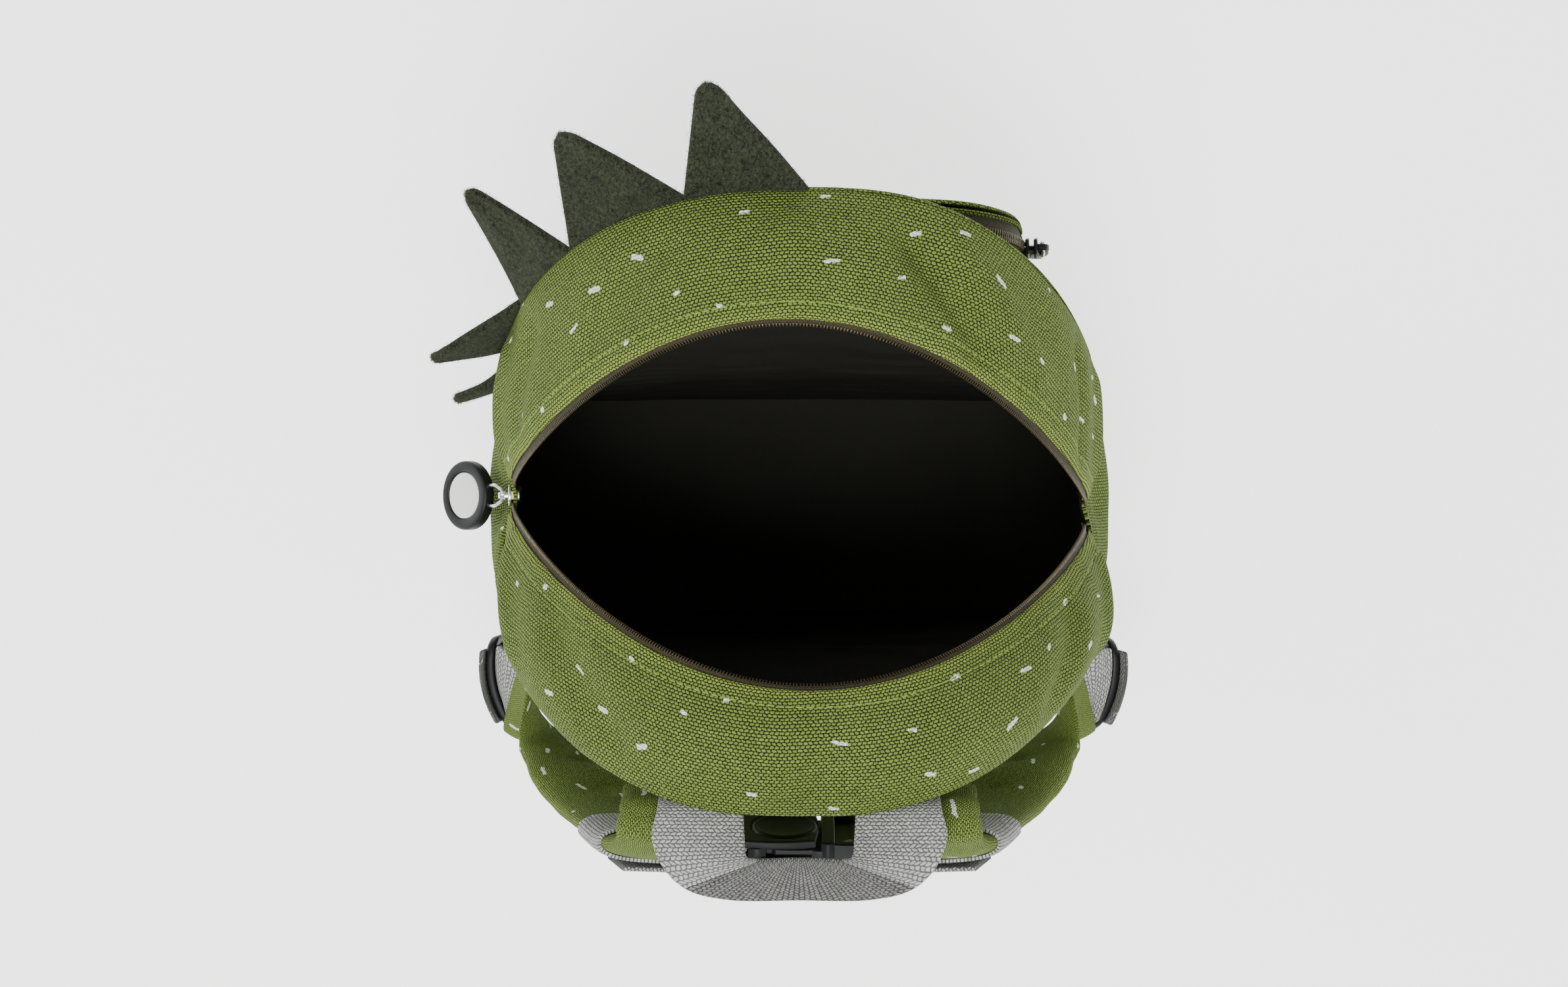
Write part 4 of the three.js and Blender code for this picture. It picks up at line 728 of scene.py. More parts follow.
def metal_material(name, light, dark, roughness):
    """Cast metal with a little tarnish in uneven spots."""
    made, tree, skin = new_material(name)
    place = node(tree, "ShaderNodeTexCoord").outputs["Object"]
    spots = noise_at(tree, place, 900.0, 3.0)
    face = blend_colour(tree, spots.outputs[0], light, dark)
    rough = calc(tree, "MULTIPLY_ADD", spots.outputs[0], 0.2, roughness)
    surface(tree, skin, face, spots.outputs[0], 0.15, 0.0001, {"Roughness": rough, "Metallic": 1.0})
    return made


zip_tape = tape_material()
front_teeth_metal = metal_material("bright zip teeth", rgb("59543f"), rgb("332e21"), 0.4)
back_teeth_metal = metal_material("dark zip teeth", rgb("5e5642"), rgb("332d1f"), 0.35)
bright_metal = metal_material("bright pull metal", rgb("e9eaeb"), rgb("b9bbbd"), 0.16)


def lip_frame(side, q):
    place = gusset_point(side, q, np.ones_like(q), GUSSET_SETBACKS[side])
    wide = place - gusset_point(side, q, np.full_like(q, 0.92), GUSSET_SETBACKS[side])
    wide /= np.linalg.norm(wide, axis=-1, keepdims=True)
    along = gusset_point(side, np.clip(q + 0.002, -1, 1), np.ones_like(q)) - gusset_point(
        side, np.clip(q - 0.002, -1, 1), np.ones_like(q))
    along /= np.linalg.norm(along, axis=-1, keepdims=True)
    out_x, out_z = outline_out(body_line, q * zip_share)
    thick = np.cross(along, wide)
    turn = np.sign(thick[..., 0] * out_x + thick[..., 2] * out_z)
    return place, along, wide, thick * turn[..., None]


def even_places(path, pitch):
    """Places at an even pitch along a finely sampled path, as fractional indices into it."""
    length = np.concatenate([[0], np.cumsum(np.linalg.norm(np.diff(path, axis=0), axis=1))])
    count = int(length[-1] / pitch)
    return np.interp((np.arange(count) + 0.5) * length[-1] / count, length, np.arange(len(path)))


def row_setting_tree():
    """Sets one unit at each point of a row, with X along the row and Z facing outwards."""
    tree = bpy.data.node_groups.new("set along a row", "GeometryNodeTree")
    for label, kind in (("Row", "NodeSocketGeometry"), ("Unit", "NodeSocketObject"),
                        ("Unit Size", "NodeSocketVector"),
                        ("Finish", "NodeSocketMaterial")):
        tree.interface.new_socket(label, in_out="INPUT", socket_type=kind)
    tree.interface.new_socket("Pieces", in_out="OUTPUT", socket_type="NodeSocketGeometry")
    given, out = tree.nodes.new("NodeGroupInput"), tree.nodes.new("NodeGroupOutput")
    unit = node(tree, "GeometryNodeObjectInfo", {"Object": given.outputs["Unit"]})
    along = node(tree, "GeometryNodeInputNamedAttribute", {"Name": "along"}, data_type="FLOAT_VECTOR")
    outward = node(tree, "GeometryNodeInputNamedAttribute", {"Name": "outward"}, data_type="FLOAT_VECTOR")
    first = node(tree, "FunctionNodeAlignRotationToVector", {"Vector": along.outputs[0]}, axis="X")
    second = node(tree, "FunctionNodeAlignRotationToVector",
                  {"Rotation": first.outputs[0], "Vector": outward.outputs[0]},
                  axis="Z", pivot_axis="X")
    placed = node(tree, "GeometryNodeInstanceOnPoints", {
        "Points": given.outputs["Row"], "Instance": unit.outputs["Geometry"],
        "Rotation": second.outputs[0], "Scale": given.outputs["Unit Size"],
    })
    real = node(tree, "GeometryNodeRealizeInstances", {0: placed.outputs[0]})
    dressed = node(tree, "GeometryNodeSetMaterial",
                   {0: real.outputs[0], "Material": given.outputs["Finish"]})
    tree.links.new(dressed.outputs[0], out.inputs["Pieces"])
    return tree


row_setting = row_setting_tree()


def set_along(name, places, along, outward, unit, material, size=(1, 1, 1)):
    """Runs the row-setting tree over a list of points in millimetres and keeps the result as one mesh."""
    row = bpy.data.meshes.new(name + "_row")
    row.from_pydata([tuple(p) for p in np.asarray(places) * MM], [], [])
    for label, values in (("along", along), ("outward", outward)):
        layer = row.attributes.new(label, "FLOAT_VECTOR", "POINT")
        layer.data.foreach_set("vector", np.asarray(values, float).ravel())
    holder = bpy.data.objects.new(name + "_row", row)
    bpy.context.scene.collection.objects.link(holder)
    setter = holder.modifiers.new("row", "NODES")
    setter.node_group = row_setting
    keys = {item.name: item.identifier
            for item in row_setting.interface.items_tree if item.in_out == "INPUT"}
    setter[keys["Unit"]] = unit
    setter[keys["Unit Size"]] = size
    setter[keys["Finish"]] = material
    bpy.context.view_layer.update()
    ready = holder.evaluated_get(bpy.context.evaluated_depsgraph_get())
    mesh = bpy.data.meshes.new_from_object(ready)
    mesh.name = name
    bpy.data.objects.remove(holder)
    mesh.materials.clear()
    mesh.materials.append(material)
    thing = bpy.data.objects.new(name, mesh)
    bpy.context.scene.collection.objects.link(thing)
    return thing


def small_unit(name, rings):
    """A little closed form from rings of (x, [(y, z), ...]), in millimetres, to be set many times."""
    corners = len(rings[0][1])
    points = [(x, y, z) for x, section in rings for y, z in section]
    faces = [tuple(reversed(range(corners))), tuple(range(len(points) - corners, len(points)))]
    for i in range(len(rings) - 1):
        for j in range(corners):
            a, b = i * corners + j, i * corners + (j + 1) % corners
            faces.append((a, b, b + corners, a + corners))
    mesh = bpy.data.meshes.new(name)
    mesh.from_pydata([tuple(c * MM for c in p) for p in points], [], faces)
    mesh.polygons.foreach_set("use_smooth", np.ones(len(mesh.polygons), bool))
    mesh.set_sharp_from_angle(angle=math.radians(40))
    thing = bpy.data.objects.new(name, mesh)
    bpy.context.scene.collection.objects.link(thing)
    return thing


def scaled(section, share):
    return [(y * share, z * share) for y, z in section]


tooth_section = [(-0.7, -0.5), (-0.3, -0.7), (0.5, -0.62), (0.85, -0.25), (0.85, 0.25), (0.5, 0.62),
                 (-0.3, 0.7), (-0.7, 0.5)]
tooth = small_unit("zip tooth", [(-0.3, scaled(tooth_section, 0.8)), (-0.2, tooth_section),
                                 (0.2, tooth_section),
                                 (0.3, scaled(tooth_section, 0.8))])
for label, side, metal in (("front", FRONT, front_teeth_metal), ("back", BACK, back_teeth_metal)):
    q = np.linspace(-0.992, 0.992, 520)
    place, along, wide, thick = lip_frame(side, q)
    under = [gusset_point(side, q, np.full_like(q, share), GUSSET_SETBACKS[side])
             for share in np.linspace(0.9, 0.985, 8)]
    beyond = [place + wide * reach for reach in (0.2, 0.7, 1.2, 1.7, 2.1)]
    depth = list(np.linspace(2.6, TAPE_DROP, 8)) + [TAPE_DROP] * 2 + [TEETH_DROP] * 3
    grid = np.stack([row - thick * drop for row, drop in zip(under + beyond, depth)], 1)
    tape = sheet(f"main_zip_tape_{label}_cloth", grid, 0.7, -side)
    finish_piece(tape, zip_tape, "bag", [f"main_zip_tape_{label}"])
    q = np.linspace(-0.985, 0.955, 2400)
    place, along, wide, thick = lip_frame(side, q)
    line = place + wide * (TEETH_SET_OUT + 0.3) - thick * TEETH_DROP
    at = np.round(even_places(line, TOOTH_PITCH)).astype(int)
    across = np.cross(thick[at], along[at])
    flip = np.sign((across * wide[at]).sum(1))[:, None]
    row = set_along(f"main_zip_teeth_{label}_row", line[at], along[at] * flip, thick[at], tooth, metal)
    finish_piece(row, None, "bag", [f"main_zip_teeth_{label}"])
bpy.data.objects.remove(tooth)


# A topstitched row of green thread holds each lip to its tape. Each stitch is a
# small unit set along the line, as the teeth are.
STITCH, STITCH_PITCH = 2.5, 3.3
stitch_ring = [(math.cos(a) * 0.3, math.sin(a) * 0.26) for a in np.linspace(0, 2 * np.pi, 7)[:-1]]


def stitch_unit(name, half):
    return small_unit(name, [(-half, scaled(stitch_ring, 0.35)), (-half * 0.75, stitch_ring),
                             (0, scaled(stitch_ring, 1.15)),
                             (half * 0.75, stitch_ring), (half, scaled(stitch_ring, 0.35))])


def thread_material(name, light, dark):
    made, tree, skin = new_material(name)
    place = node(tree, "ShaderNodeTexCoord").outputs["Object"]
    twist = noise_at(tree, place, 1500.0, 2.0)
    face = blend_colour(tree, twist.outputs[0], light, dark)
    surface(tree, skin, face, twist.outputs[0], 0.5, 0.0002, {"Roughness": 0.75})
    return made


green_thread = thread_material("green thread", rgb("8a9f45"), rgb("5d7029"))
stitch = stitch_unit("stitch", STITCH / 2)
for label, side in (("front", FRONT), ("back", BACK)):
    q, v = np.meshgrid(np.linspace(-0.96, 0.96, 2400), [0.855, 0.865, 0.875], indexing="ij")
    strip = dressed_gusset(side, q, v)
    face = -side * grid_normals(strip)[:, 1]
    line = strip[:, 1] + face * 0.12
    at = np.round(even_places(line, STITCH_PITCH)).astype(int)
    along = np.gradient(line, axis=0)[at]
    row = set_along(f"lip_stitches_{label}", line[at], along, face[at], stitch, green_thread)
    finish_piece(row, None, "bag")
bpy.data.objects.remove(stitch)


# A metal slider stands at the end of the main zip, with two plates, a post between
# them and a bridge. A wire bail hangs from the bridge and carries a black disc with
# a blank off-white face.
SLIDER_LENGTH, SLIDER_WIDTH, SLIDER_THICKNESS, CROWN_HEIGHT = 10, 8, 4.5, 4.4
SLIDER_PLATE, SLIDER_POST = 1.3, 1.5
WIRE, BAIL_LENGTH, BAIL_WIDTH, BAIL_NECK = 1.5, 8, 7.6, 5.2
DISC_RADIUS, DISC_THICKNESS, FACE_RADIUS, FACE_THICKNESS = 13.5, 5, 9, 1.2
DISC_SIDES = 96
PULLER_DROP = math.radians(45)
slider_spot = np.array([MOUTH_HALF_LENGTH, -MOUTH_SKEW, ZIP_END_HEIGHT + SLIDER_LENGTH * 0.75])
puller_pivot = slider_spot + [CROWN_HEIGHT * 0.48, 0, 0]


def plastic_material(name, light, dark, roughness):
    made, tree, skin = new_material(name)
    place = node(tree, "ShaderNodeTexCoord").outputs["Object"]
    grain = noise_at(tree, place, 2200.0, 2.0)
    cloud = noise_at(tree, place, 60.0, 3.0)
    face = blend_colour(tree, cloud.outputs[0], light, dark)
    rough = calc(tree, "MULTIPLY_ADD", cloud.outputs[0], 0.16, roughness)
    surface(tree, skin, face, grain.outputs[0], 0.12, 0.0001,
            {"Roughness": rough, "Specular IOR Level": 0.3})
    return made


black_plastic = plastic_material("satin black plastic", rgb("0f1012"), rgb("090a0b"), 0.42)
blank_enamel = plastic_material("blank off-white enamel", rgb("eceee6"), rgb("e2e5dc"), 0.12)
brass = metal_material("worn brass", rgb("cdb98a"), rgb("9a8556"), 0.28)


def curve_through(points, shares):
    """Places and directions along a smooth centripetal curve through a few points."""
    points = np.asarray(points, float)
    full = np.concatenate([[2 * points[0] - points[1]], points, [2 * points[-1] - points[-2]]])
    at = np.clip(np.asarray(shares, float), 0, 1) * (len(points) - 1)
    first = np.minimum(at.astype(int), len(points) - 2)
    w = (at - first)[:, None]
    p0, p1, p2, p3 = (full[first + k] for k in range(4))
    d0, d1, d2 = (np.maximum(np.linalg.norm(b - a, axis=1, keepdims=True), 1e-6) ** 0.5
                  for a, b in ((p0, p1), (p1, p2), (p2, p3)))
    m1 = ((p1 - p0) / d0 - (p2 - p0) / (d0 + d1) + (p2 - p1) / d1) * d1
    m2 = ((p2 - p1) / d1 - (p3 - p1) / (d1 + d2) + (p3 - p2) / d2) * d1
    square = -3 * p1 + 3 * p2 - 2 * m1 - m2
    cube = 2 * p1 - 2 * p2 + m1 + m2
    slope = m1 + 2 * square * w + 3 * cube * w * w
    length = np.maximum(np.linalg.norm(slope, axis=1, keepdims=True), 1e-9)
    return p1 + m1 * w + square * w ** 2 + cube * w ** 3, slope / length


def frames_through(places, wides, count):
    """Frames along a path: places, the direction across, the direction out, the direction along, shares."""
    shares = np.linspace(0, 1, count)
    place, along = curve_through(places, shares)
    unit = np.asarray(wides, float)
    wide, _ = curve_through(unit / np.linalg.norm(unit, axis=1, keepdims=True), shares)
    wide = wide - along * (wide * along).sum(1, keepdims=True)
    wide /= np.linalg.norm(wide, axis=1, keepdims=True)
    return place, wide, np.cross(along, wide), along, shares


def swept(name, frames, sections, closed=False, moved=None):
    """A closed tube of sections (across, out) carried along frames, with cloth coordinates on it."""
    place, wide, thick = frames[:3]
    sections = np.asarray(sections, float)
    sections = np.broadcast_to(sections, (len(place),) + sections.shape[-2:])
    grid = place[:, None] + wide[:, None] * sections[..., :1] + thick[:, None] * sections[..., 1:]
    if moved is not None:
        grid = moved(grid)
    stations, corners = grid.shape[:2]
    faces = []
    for i in range(stations if closed else stations - 1):
        for j in range(corners):
            a, b = i * corners + j, i * corners + (j + 1) % corners
            row = (i + 1) % stations * corners
            faces.append((a, b, row + (j + 1) % corners, row + j))
    sides = len(faces)
    if not closed:
        faces += [tuple(reversed(range(corners))),
                  tuple(range((stations - 1) * corners, stations * corners))]
    along = np.concatenate([[0], np.cumsum(np.linalg.norm(np.diff(place, axis=0), axis=1))])
    loop = np.concatenate([sections, sections[:, :1]], 1)
    around = np.concatenate([[0], np.cumsum(np.linalg.norm(np.diff(loop[stations // 2], axis=0), axis=1))])
    uvs = np.stack(np.broadcast_arrays(along[:, None], around[None, :-1]), 2).reshape(-1, 2)
    thing = shell_mesh(name, grid.reshape(-1, 3), faces, uvs)
    mesh = thing.data
    order = np.zeros(len(mesh.loops), int)
    mesh.loops.foreach_get("vertex_index", order)
    totals = np.zeros(len(mesh.polygons), int)
    mesh.polygons.foreach_get("loop_total", totals)
    owner = np.repeat(np.arange(len(totals)), totals)
    lap = (owner < sides) & (owner % corners == corners - 1) & (order % corners == 0)
    flat = uvs[order]
    flat[lap, 1] += around[-1]
    mesh.uv_layers["cloth"].data.foreach_set("uv", (flat * MM).ravel())
    return thing


def round_section(radius, sides=16):
    angle = np.linspace(0, 2 * np.pi, sides, endpoint=False)
    return np.stack([radius * np.cos(angle), radius * np.sin(angle)], 1)


def rounded_plate(name, outline, depth, bevel, steps=4):
    """A flat plate from a convex outline in its own XY plane, with rounded rims."""
    outline = np.asarray(outline, float)
    reach = np.abs(outline).max(0)
    turn = np.linspace(0, np.pi / 2, steps)
    levels = [(-depth / 2 + bevel * (1 - math.sin(a)), bevel * (1 - math.cos(a))) for a in turn[::-1]]
    levels += [(-z, inset) for z, inset in reversed(levels)]
    points = np.concatenate([np.column_stack([outline * (1 - inset / reach), np.full(len(outline), z)])
                             for z, inset in sorted(levels)])
    corners, layers = len(outline), len(levels)
    faces = [tuple(range(corners)), tuple(range((layers - 1) * corners, layers * corners))[::-1]]
    for i in range(layers - 1):
        for j in range(corners):
            a, b = i * corners + j, i * corners + (j + 1) % corners
            faces.append((b, a, a + corners, b + corners))
    return shell_mesh(name, points, faces, points[:, :2])


def turned(name, profile, sides):
    """A solid of revolution about its own Z, from (radius, z) points that start and end on the axis."""
    angle = np.linspace(0, 2 * np.pi, sides, endpoint=False)
    inner = np.asarray(profile[1:-1], float)
    rings = [np.stack([r * np.cos(angle), r * np.sin(angle), np.full(sides, z)], 1) for r, z in inner]
    points = np.concatenate([[[0, 0, profile[0][1]]], *rings, [[0, 0, profile[-1][1]]]])
    last = len(points) - 1
    faces = []
    for j in range(sides):
        k = (j + 1) % sides
        faces.append((0, 1 + k, 1 + j))
        faces.append((last, last - sides + j, last - sides + k))
        for i in range(len(inner) - 1):
            a, b = 1 + i * sides + j, 1 + i * sides + k
            faces.append((a, b, b + sides, a + sides))
    return shell_mesh(name, points, faces, points[:, :2])


def joined(name, things):
    """One mesh object from several, each keeping its material."""
    first = things[0]
    with bpy.context.temp_override(active_object=first, selected_editable_objects=things):
        bpy.ops.object.join()
    first.name = name
    first.data.name = name
    return first


def placed(thing, rotation, position):
    """Moves the mesh itself, so that the object stays at the origin."""
    thing.data.transform(Matrix.Translation(Vector(np.asarray(position) * MM)) @ rotation.to_4x4())
    return thing


def bridge_wire(name, foot, height, width, thickness):
    """The slider's bridge: a flat bar that rises from one end of the plate and comes down at the other."""
    rows = [(-foot, -0.4), (-foot, height * 0.45), (-foot * 0.72, height * 0.86), (0, height),
            (foot * 0.72, height * 0.86), (foot, height * 0.45), (foot, -0.4)]
    frames = frames_through([(0, y, z) for y, z in rows], [(1, 0, 0)] * len(rows), 36)
    half, thin = width / 2, thickness / 2
    bar = [(half, -thin * 0.5), (half, thin * 0.5), (half * 0.75, thin), (-half * 0.75, thin),
           (-half, thin * 0.5), (-half, -thin * 0.5), (-half * 0.75, -thin), (half * 0.75, -thin)]
    return swept(name, frames, bar)


def slider_parts(name, metal, post):
    """Two shaped plates, the post between them and the bridge, drawn with X across, Y along, Z outwards."""
    half, width = SLIDER_LENGTH / 2, SLIDER_WIDTH / 2
    turn = np.linspace(0, np.pi, 13)
    shield = [(-width * 0.7, -half), (width * 0.7, -half), (width * 0.86, -half * 0.3), (width, half * 0.5)]
    shield += [(width * 0.75 * math.cos(a), half * (0.72 + 0.28 * math.sin(a))) for a in turn]
    shield += [(-width, half * 0.5), (-width * 0.86, -half * 0.3)]
    outer = rounded_plate(name + "_outer", shield, SLIDER_PLATE, 0.35)
    inner = rounded_plate(name + "_inner", shield, SLIDER_PLATE, 0.35)
    outer.data.transform(Matrix.Translation((0, 0, -SLIDER_PLATE / 2 * MM)))
    inner.data.transform(Matrix.Translation((0, 0, (SLIDER_PLATE / 2 - SLIDER_THICKNESS) * MM)))
    wedge = [(-SLIDER_POST / 2, half * 0.2), (SLIDER_POST / 2, half * 0.2), (SLIDER_POST, half * 0.95),
             (-SLIDER_POST, half * 0.95)]
    middle = rounded_plate(name + "_post", wedge, SLIDER_THICKNESS - SLIDER_PLATE, 0.3)
    middle.data.transform(Matrix.Translation((0, 0, -SLIDER_THICKNESS / 2 * MM)))
    bridge = bridge_wire(name + "_bridge", half * 0.72, CROWN_HEIGHT - 0.6, 2.4, 1.1)
    for thing in (outer, inner, bridge):
        coloured(thing, metal)
    coloured(middle, post)
    return joined(name, [outer, inner, middle, bridge])


slider_turn = Matrix.Rotation(math.pi / 2, 3, "X") @ Matrix.Rotation(math.pi / 2, 3, "Y")
main_slider = placed(slider_parts("main_slider_metal", bright_metal, brass), slider_turn, slider_spot)
finish_piece(main_slider, None, "bag", ["main_slider"])

hang = Matrix.Rotation(PULLER_DROP, 3, "Y")
neck = BAIL_NECK / 2
bail_rows = [(BAIL_LENGTH + 1.2, BAIL_WIDTH / 2), (BAIL_LENGTH * 0.62, BAIL_WIDTH / 2),
             (neck * 1.1, neck * 1.12)]
bail_rows += [(neck + neck * math.cos(a), neck * math.sin(a))
              for a in np.linspace(np.pi * 0.6, np.pi * 1.4, 7)]
bail_rows += [(x, -y) for x, y in reversed(bail_rows[:3])]
bail_frames = frames_through([(x, y, 0) for x, y in bail_rows], [(0, 0, 1)] * len(bail_rows), 64)
bail = placed(swept("main_puller_wire", bail_frames, round_section(WIRE / 2, 16)), hang, puller_pivot)
finish_piece(bail, bright_metal, "main_puller", ["main_puller_bail"])

disc_centre = BAIL_LENGTH + 0.3 + DISC_RADIUS
edge = DISC_THICKNESS / 2
rim_turn = np.linspace(0, np.pi / 2, 7)
rim = 1.1
disc_profile = [(0, -edge), (DISC_RADIUS - rim, -edge)]
disc_profile += [(DISC_RADIUS - rim + rim * math.sin(a), -edge + rim - rim * math.cos(a))
                 for a in rim_turn[1:]]
disc_profile += [(DISC_RADIUS - rim + rim * math.cos(a), edge - rim + rim * math.sin(a)) for a in rim_turn]
disc_profile += [(FACE_RADIUS + 0.9, edge), (FACE_RADIUS + 0.5, edge - 0.15),
                 (FACE_RADIUS + 0.25, edge - 0.7),
                 (FACE_RADIUS + 0.2, edge - FACE_THICKNESS - 0.2), (0, edge - FACE_THICKNESS - 0.2)]
disc = turned("main_puller_disc_black", disc_profile, DISC_SIDES)
disc_spot = puller_pivot + np.array(hang @ Vector((disc_centre, 0, 0)))
finish_piece(placed(disc, hang, disc_spot), black_plastic, "main_puller", ["main_puller_disc"])
face_profile = [(0, edge - FACE_THICKNESS), (FACE_RADIUS - 0.1, edge - FACE_THICKNESS),
                (FACE_RADIUS, edge - FACE_THICKNESS + 0.2), (FACE_RADIUS, edge - 0.45),
                (FACE_RADIUS - 0.15, edge - 0.25), (FACE_RADIUS - 0.5, edge - 0.15),
                (FACE_RADIUS * 0.6, edge - 0.05), (0, edge)]
blank_face = turned("main_puller_face_blank", face_profile, DISC_SIDES)
finish_piece(placed(blank_face, hang, disc_spot), blank_enamel, "main_puller", ["main_puller_face"])


# The front pocket is a canvas box sewn to the front panel: a panel, a strip all
# round it, and a curved zip let into the strip above the pocket's shoulders.
POCKET = dict(half_width=84, top=212, shoulder=165, corner=26, foot=22)
POCKET_FACE_FOOT, POCKET_FACE_TOP, POCKET_CROWN = 84, 111, 5
POCKET_ZIP_HEIGHT, POCKET_FORE_STRIP, POCKET_ZIP_WIDTH, POCKET_RIDGE = 168, 2, 11, 1.4
POCKET_SEAT, SEAM_GAP = 1, 0.8
pocket_line = half_outline(**POCKET)
pocket_middle = (POCKET["top"] + POCKET["foot"]) / 2
pocket_share = share_at_height(pocket_line, POCKET_ZIP_HEIGHT)


def pocket_face(z):
    return np.interp(z, (POCKET["foot"], POCKET["top"]), (POCKET_FACE_FOOT, POCKET_FACE_TOP))


def pocket_depth(x, z):
    across = 1 - (x / np.maximum(half_width_at(z, **POCKET), 1)) ** 2
    upward = 1 - np.abs((z - pocket_middle) / (POCKET["top"] - pocket_middle)) ** 4
    bulge = POCKET_CROWN * np.clip(across, 0, None) * np.clip(upward, 0, None)
    return pocket_face(z) + bulge + 0.7 * ripple(x, z, 70, 61)


def pocket_strip(shares, behind, lift=0.0, sag=0.0):
    """A place on the strip round the pocket, behind mm back from its face, or at the panel for None."""
    x, z = outline_at(pocket_line, shares)
    out_x, out_z = outline_out(pocket_line, np.where(shares > 1, shares - 2, shares))
    back = -panel_depth(FRONT, x, z) - CLOTH - POCKET_SEAT
    y = back if behind is None else -pocket_face(z) + SEAM_GAP + behind
    return np.stack([x + out_x * (lift + sag), y, z + out_z * (lift + sag)], -1)


def strip_between(shares, first, last, columns, puff, seed):
    start, end = pocket_strip(shares, first), pocket_strip(shares, last)
    v = np.linspace(0, 1, columns)
    x, z = outline_at(pocket_line, shares)
    out_x, out_z = outline_out(pocket_line, np.where(shares > 1, shares - 2, shares))
    outward = np.stack([out_x, np.zeros_like(out_x), out_z], -1)
    length = np.linspace(0, 400, len(shares))
    rounded = np.sin(np.pi * v)[None]
    swell = puff * rounded + 0.6 * rounded * ripple(length[:, None], v[None] * 40, 45, seed)
    edge_tuck = -0.9 * np.clip(1 - np.minimum(v, 1 - v) / 0.06, 0, 1)[None] ** 2
    flat = start[:, None] + (end - start)[:, None] * v[None, :, None]
    return flat + outward[:, None] * (swell + edge_tuck)[..., None]


pocket_cloth = dish("pocket_panel_cloth", pocket_line, 220, 34, pocket_middle, pocket_depth, CLOTH, FRONT)
finish_piece(pocket_cloth, canvas, "bag", ["pocket_panel"])
zip_from = POCKET_FORE_STRIP + 0.3
zip_to = zip_from + POCKET_ZIP_WIDTH
upper = np.linspace(-pocket_share, pocket_share, 240)
lower = np.linspace(pocket_share + 0.003, 2 - pocket_share - 0.003, 420)
for label, shares, first, last, columns, puff in (
    ("fore", upper, 0, POCKET_FORE_STRIP, 14, 0.8),
    ("rear", upper, zip_to + 0.3, None, 30, 2.0),
    ("lower", lower, 0, None, 40, 3.0),
):
    made = sheet(f"pocket_gusset_{label}_cloth",
                 strip_between(shares, first, last, columns, puff, 63), 1.2, 1)
    finish_piece(made, canvas, "bag", [f"pocket_gusset_{label}"])

zip_centre = (zip_from + zip_to) / 2
zip_shares = np.linspace(-pocket_share + 0.003, pocket_share - 0.003, 240)
zip_offsets = [(zip_from - 0.8, -0.7), (zip_from + 1, -0.2), (zip_centre - 2.6, 0), (zip_centre - 1.2, 0.5),
               (zip_centre, 0.6),
               (zip_centre + 1.2, 0.5), (zip_centre + 2.6, 0), (zip_to - 1, -0.2), (zip_to + 0.8, -0.7)]
zip_grid = np.stack([pocket_strip(zip_shares, behind, lift) for behind, lift in zip_offsets], 1)
pocket_tape = sheet("pocket_zip_tape", zip_grid, 0.7, 1)
coil_section = [(-0.9, -0.55), (-0.4, -0.75), (0.4, -0.75), (0.9, -0.55), (0.9, 0.55), (0.4, 0.75),
                (-0.4, 0.75), (-0.9, 0.55)]
coil = small_unit("zip coil", [(-0.42, scaled(coil_section, 0.7)), (-0.26, coil_section),
                               (0.26, coil_section),
                               (0.42, scaled(coil_section, 0.7))])
dark_teeth = plastic_material("dark zip coil", rgb("6b6546"), rgb("3a3624"), 0.35)
fine_shares = np.linspace(-pocket_share * 0.94, pocket_share * 0.985, 1600)
rows = [pocket_tape]
coloured(pocket_tape, zip_tape)
for label, offset in (("fore", -0.95), ("rear", 0.95)):
    line = pocket_strip(fine_shares, zip_centre + offset, 1.0)
    above = pocket_strip(fine_shares, zip_centre + offset, 2.0)
    at = np.round(even_places(line, 1.25) + (0.5 if offset > 0 else 0)).astype(int).clip(0, len(line) - 1)
    rows.append(set_along(f"pocket_teeth_{label}", line[at], np.gradient(line, axis=0)[at],
                          (above - line)[at], coil, dark_teeth))
bpy.data.objects.remove(coil)
finish_piece(joined("pocket_zip_closed", rows), None, "bag", ["pocket_zip"])


# The pocket's zip ends in a black slider at its right shoulder. A silver ring hangs
# from the bridge and carries a black tab.
RING_LENGTH, RING_WIDTH, PULL_TAB_LENGTH, PULL_TAB_WIDTH, PULL_TAB_THICKNESS = 9.4, 5.2, 26, 7, 2.4
pull_share = -pocket_share * 0.955
pull_out = outline_out(pocket_line, pull_share)
pull_lean = math.atan2(pull_out[1], pull_out[0])
slider_lift = POCKET_RIDGE + 0.3 + SLIDER_THICKNESS
pull_spot = pocket_strip(np.array([pull_share]), POCKET_ZIP_WIDTH / 2 + POCKET_FORE_STRIP + 0.3,
                         slider_lift)[0]
pocket_slider = slider_parts("pocket_slider_black", black_plastic, black_plastic)
placed(pocket_slider, Matrix.Rotation(-pull_lean, 3, "Y") @ slider_turn, pull_spot)
finish_piece(pocket_slider, None, "bag", ["pocket_slider"])
ring_pivot = pull_spot + np.array([pull_out[0], 0, pull_out[1]]) * CROWN_HEIGHT * 0.48


def wire_ring(name, length, width, radius, count=48):
    """A closed wire loop with straight sides, hanging down from its pivot in the YZ plane."""
    angle = np.linspace(0, 2 * np.pi, count, endpoint=False)
    bend = width / 2
    end = np.where(np.cos(angle) >= 0, length - bend, bend)
    place = np.stack([np.zeros(count), bend * np.sin(angle), -(end + bend * np.cos(angle))], 1)
    wide = np.stack([np.zeros(count), np.sin(angle), -np.cos(angle)], 1)
    thick = np.broadcast_to([1.0, 0, 0], (count, 3))
    return swept(name, (place, wide, thick), round_section(radius, 12), closed=True)


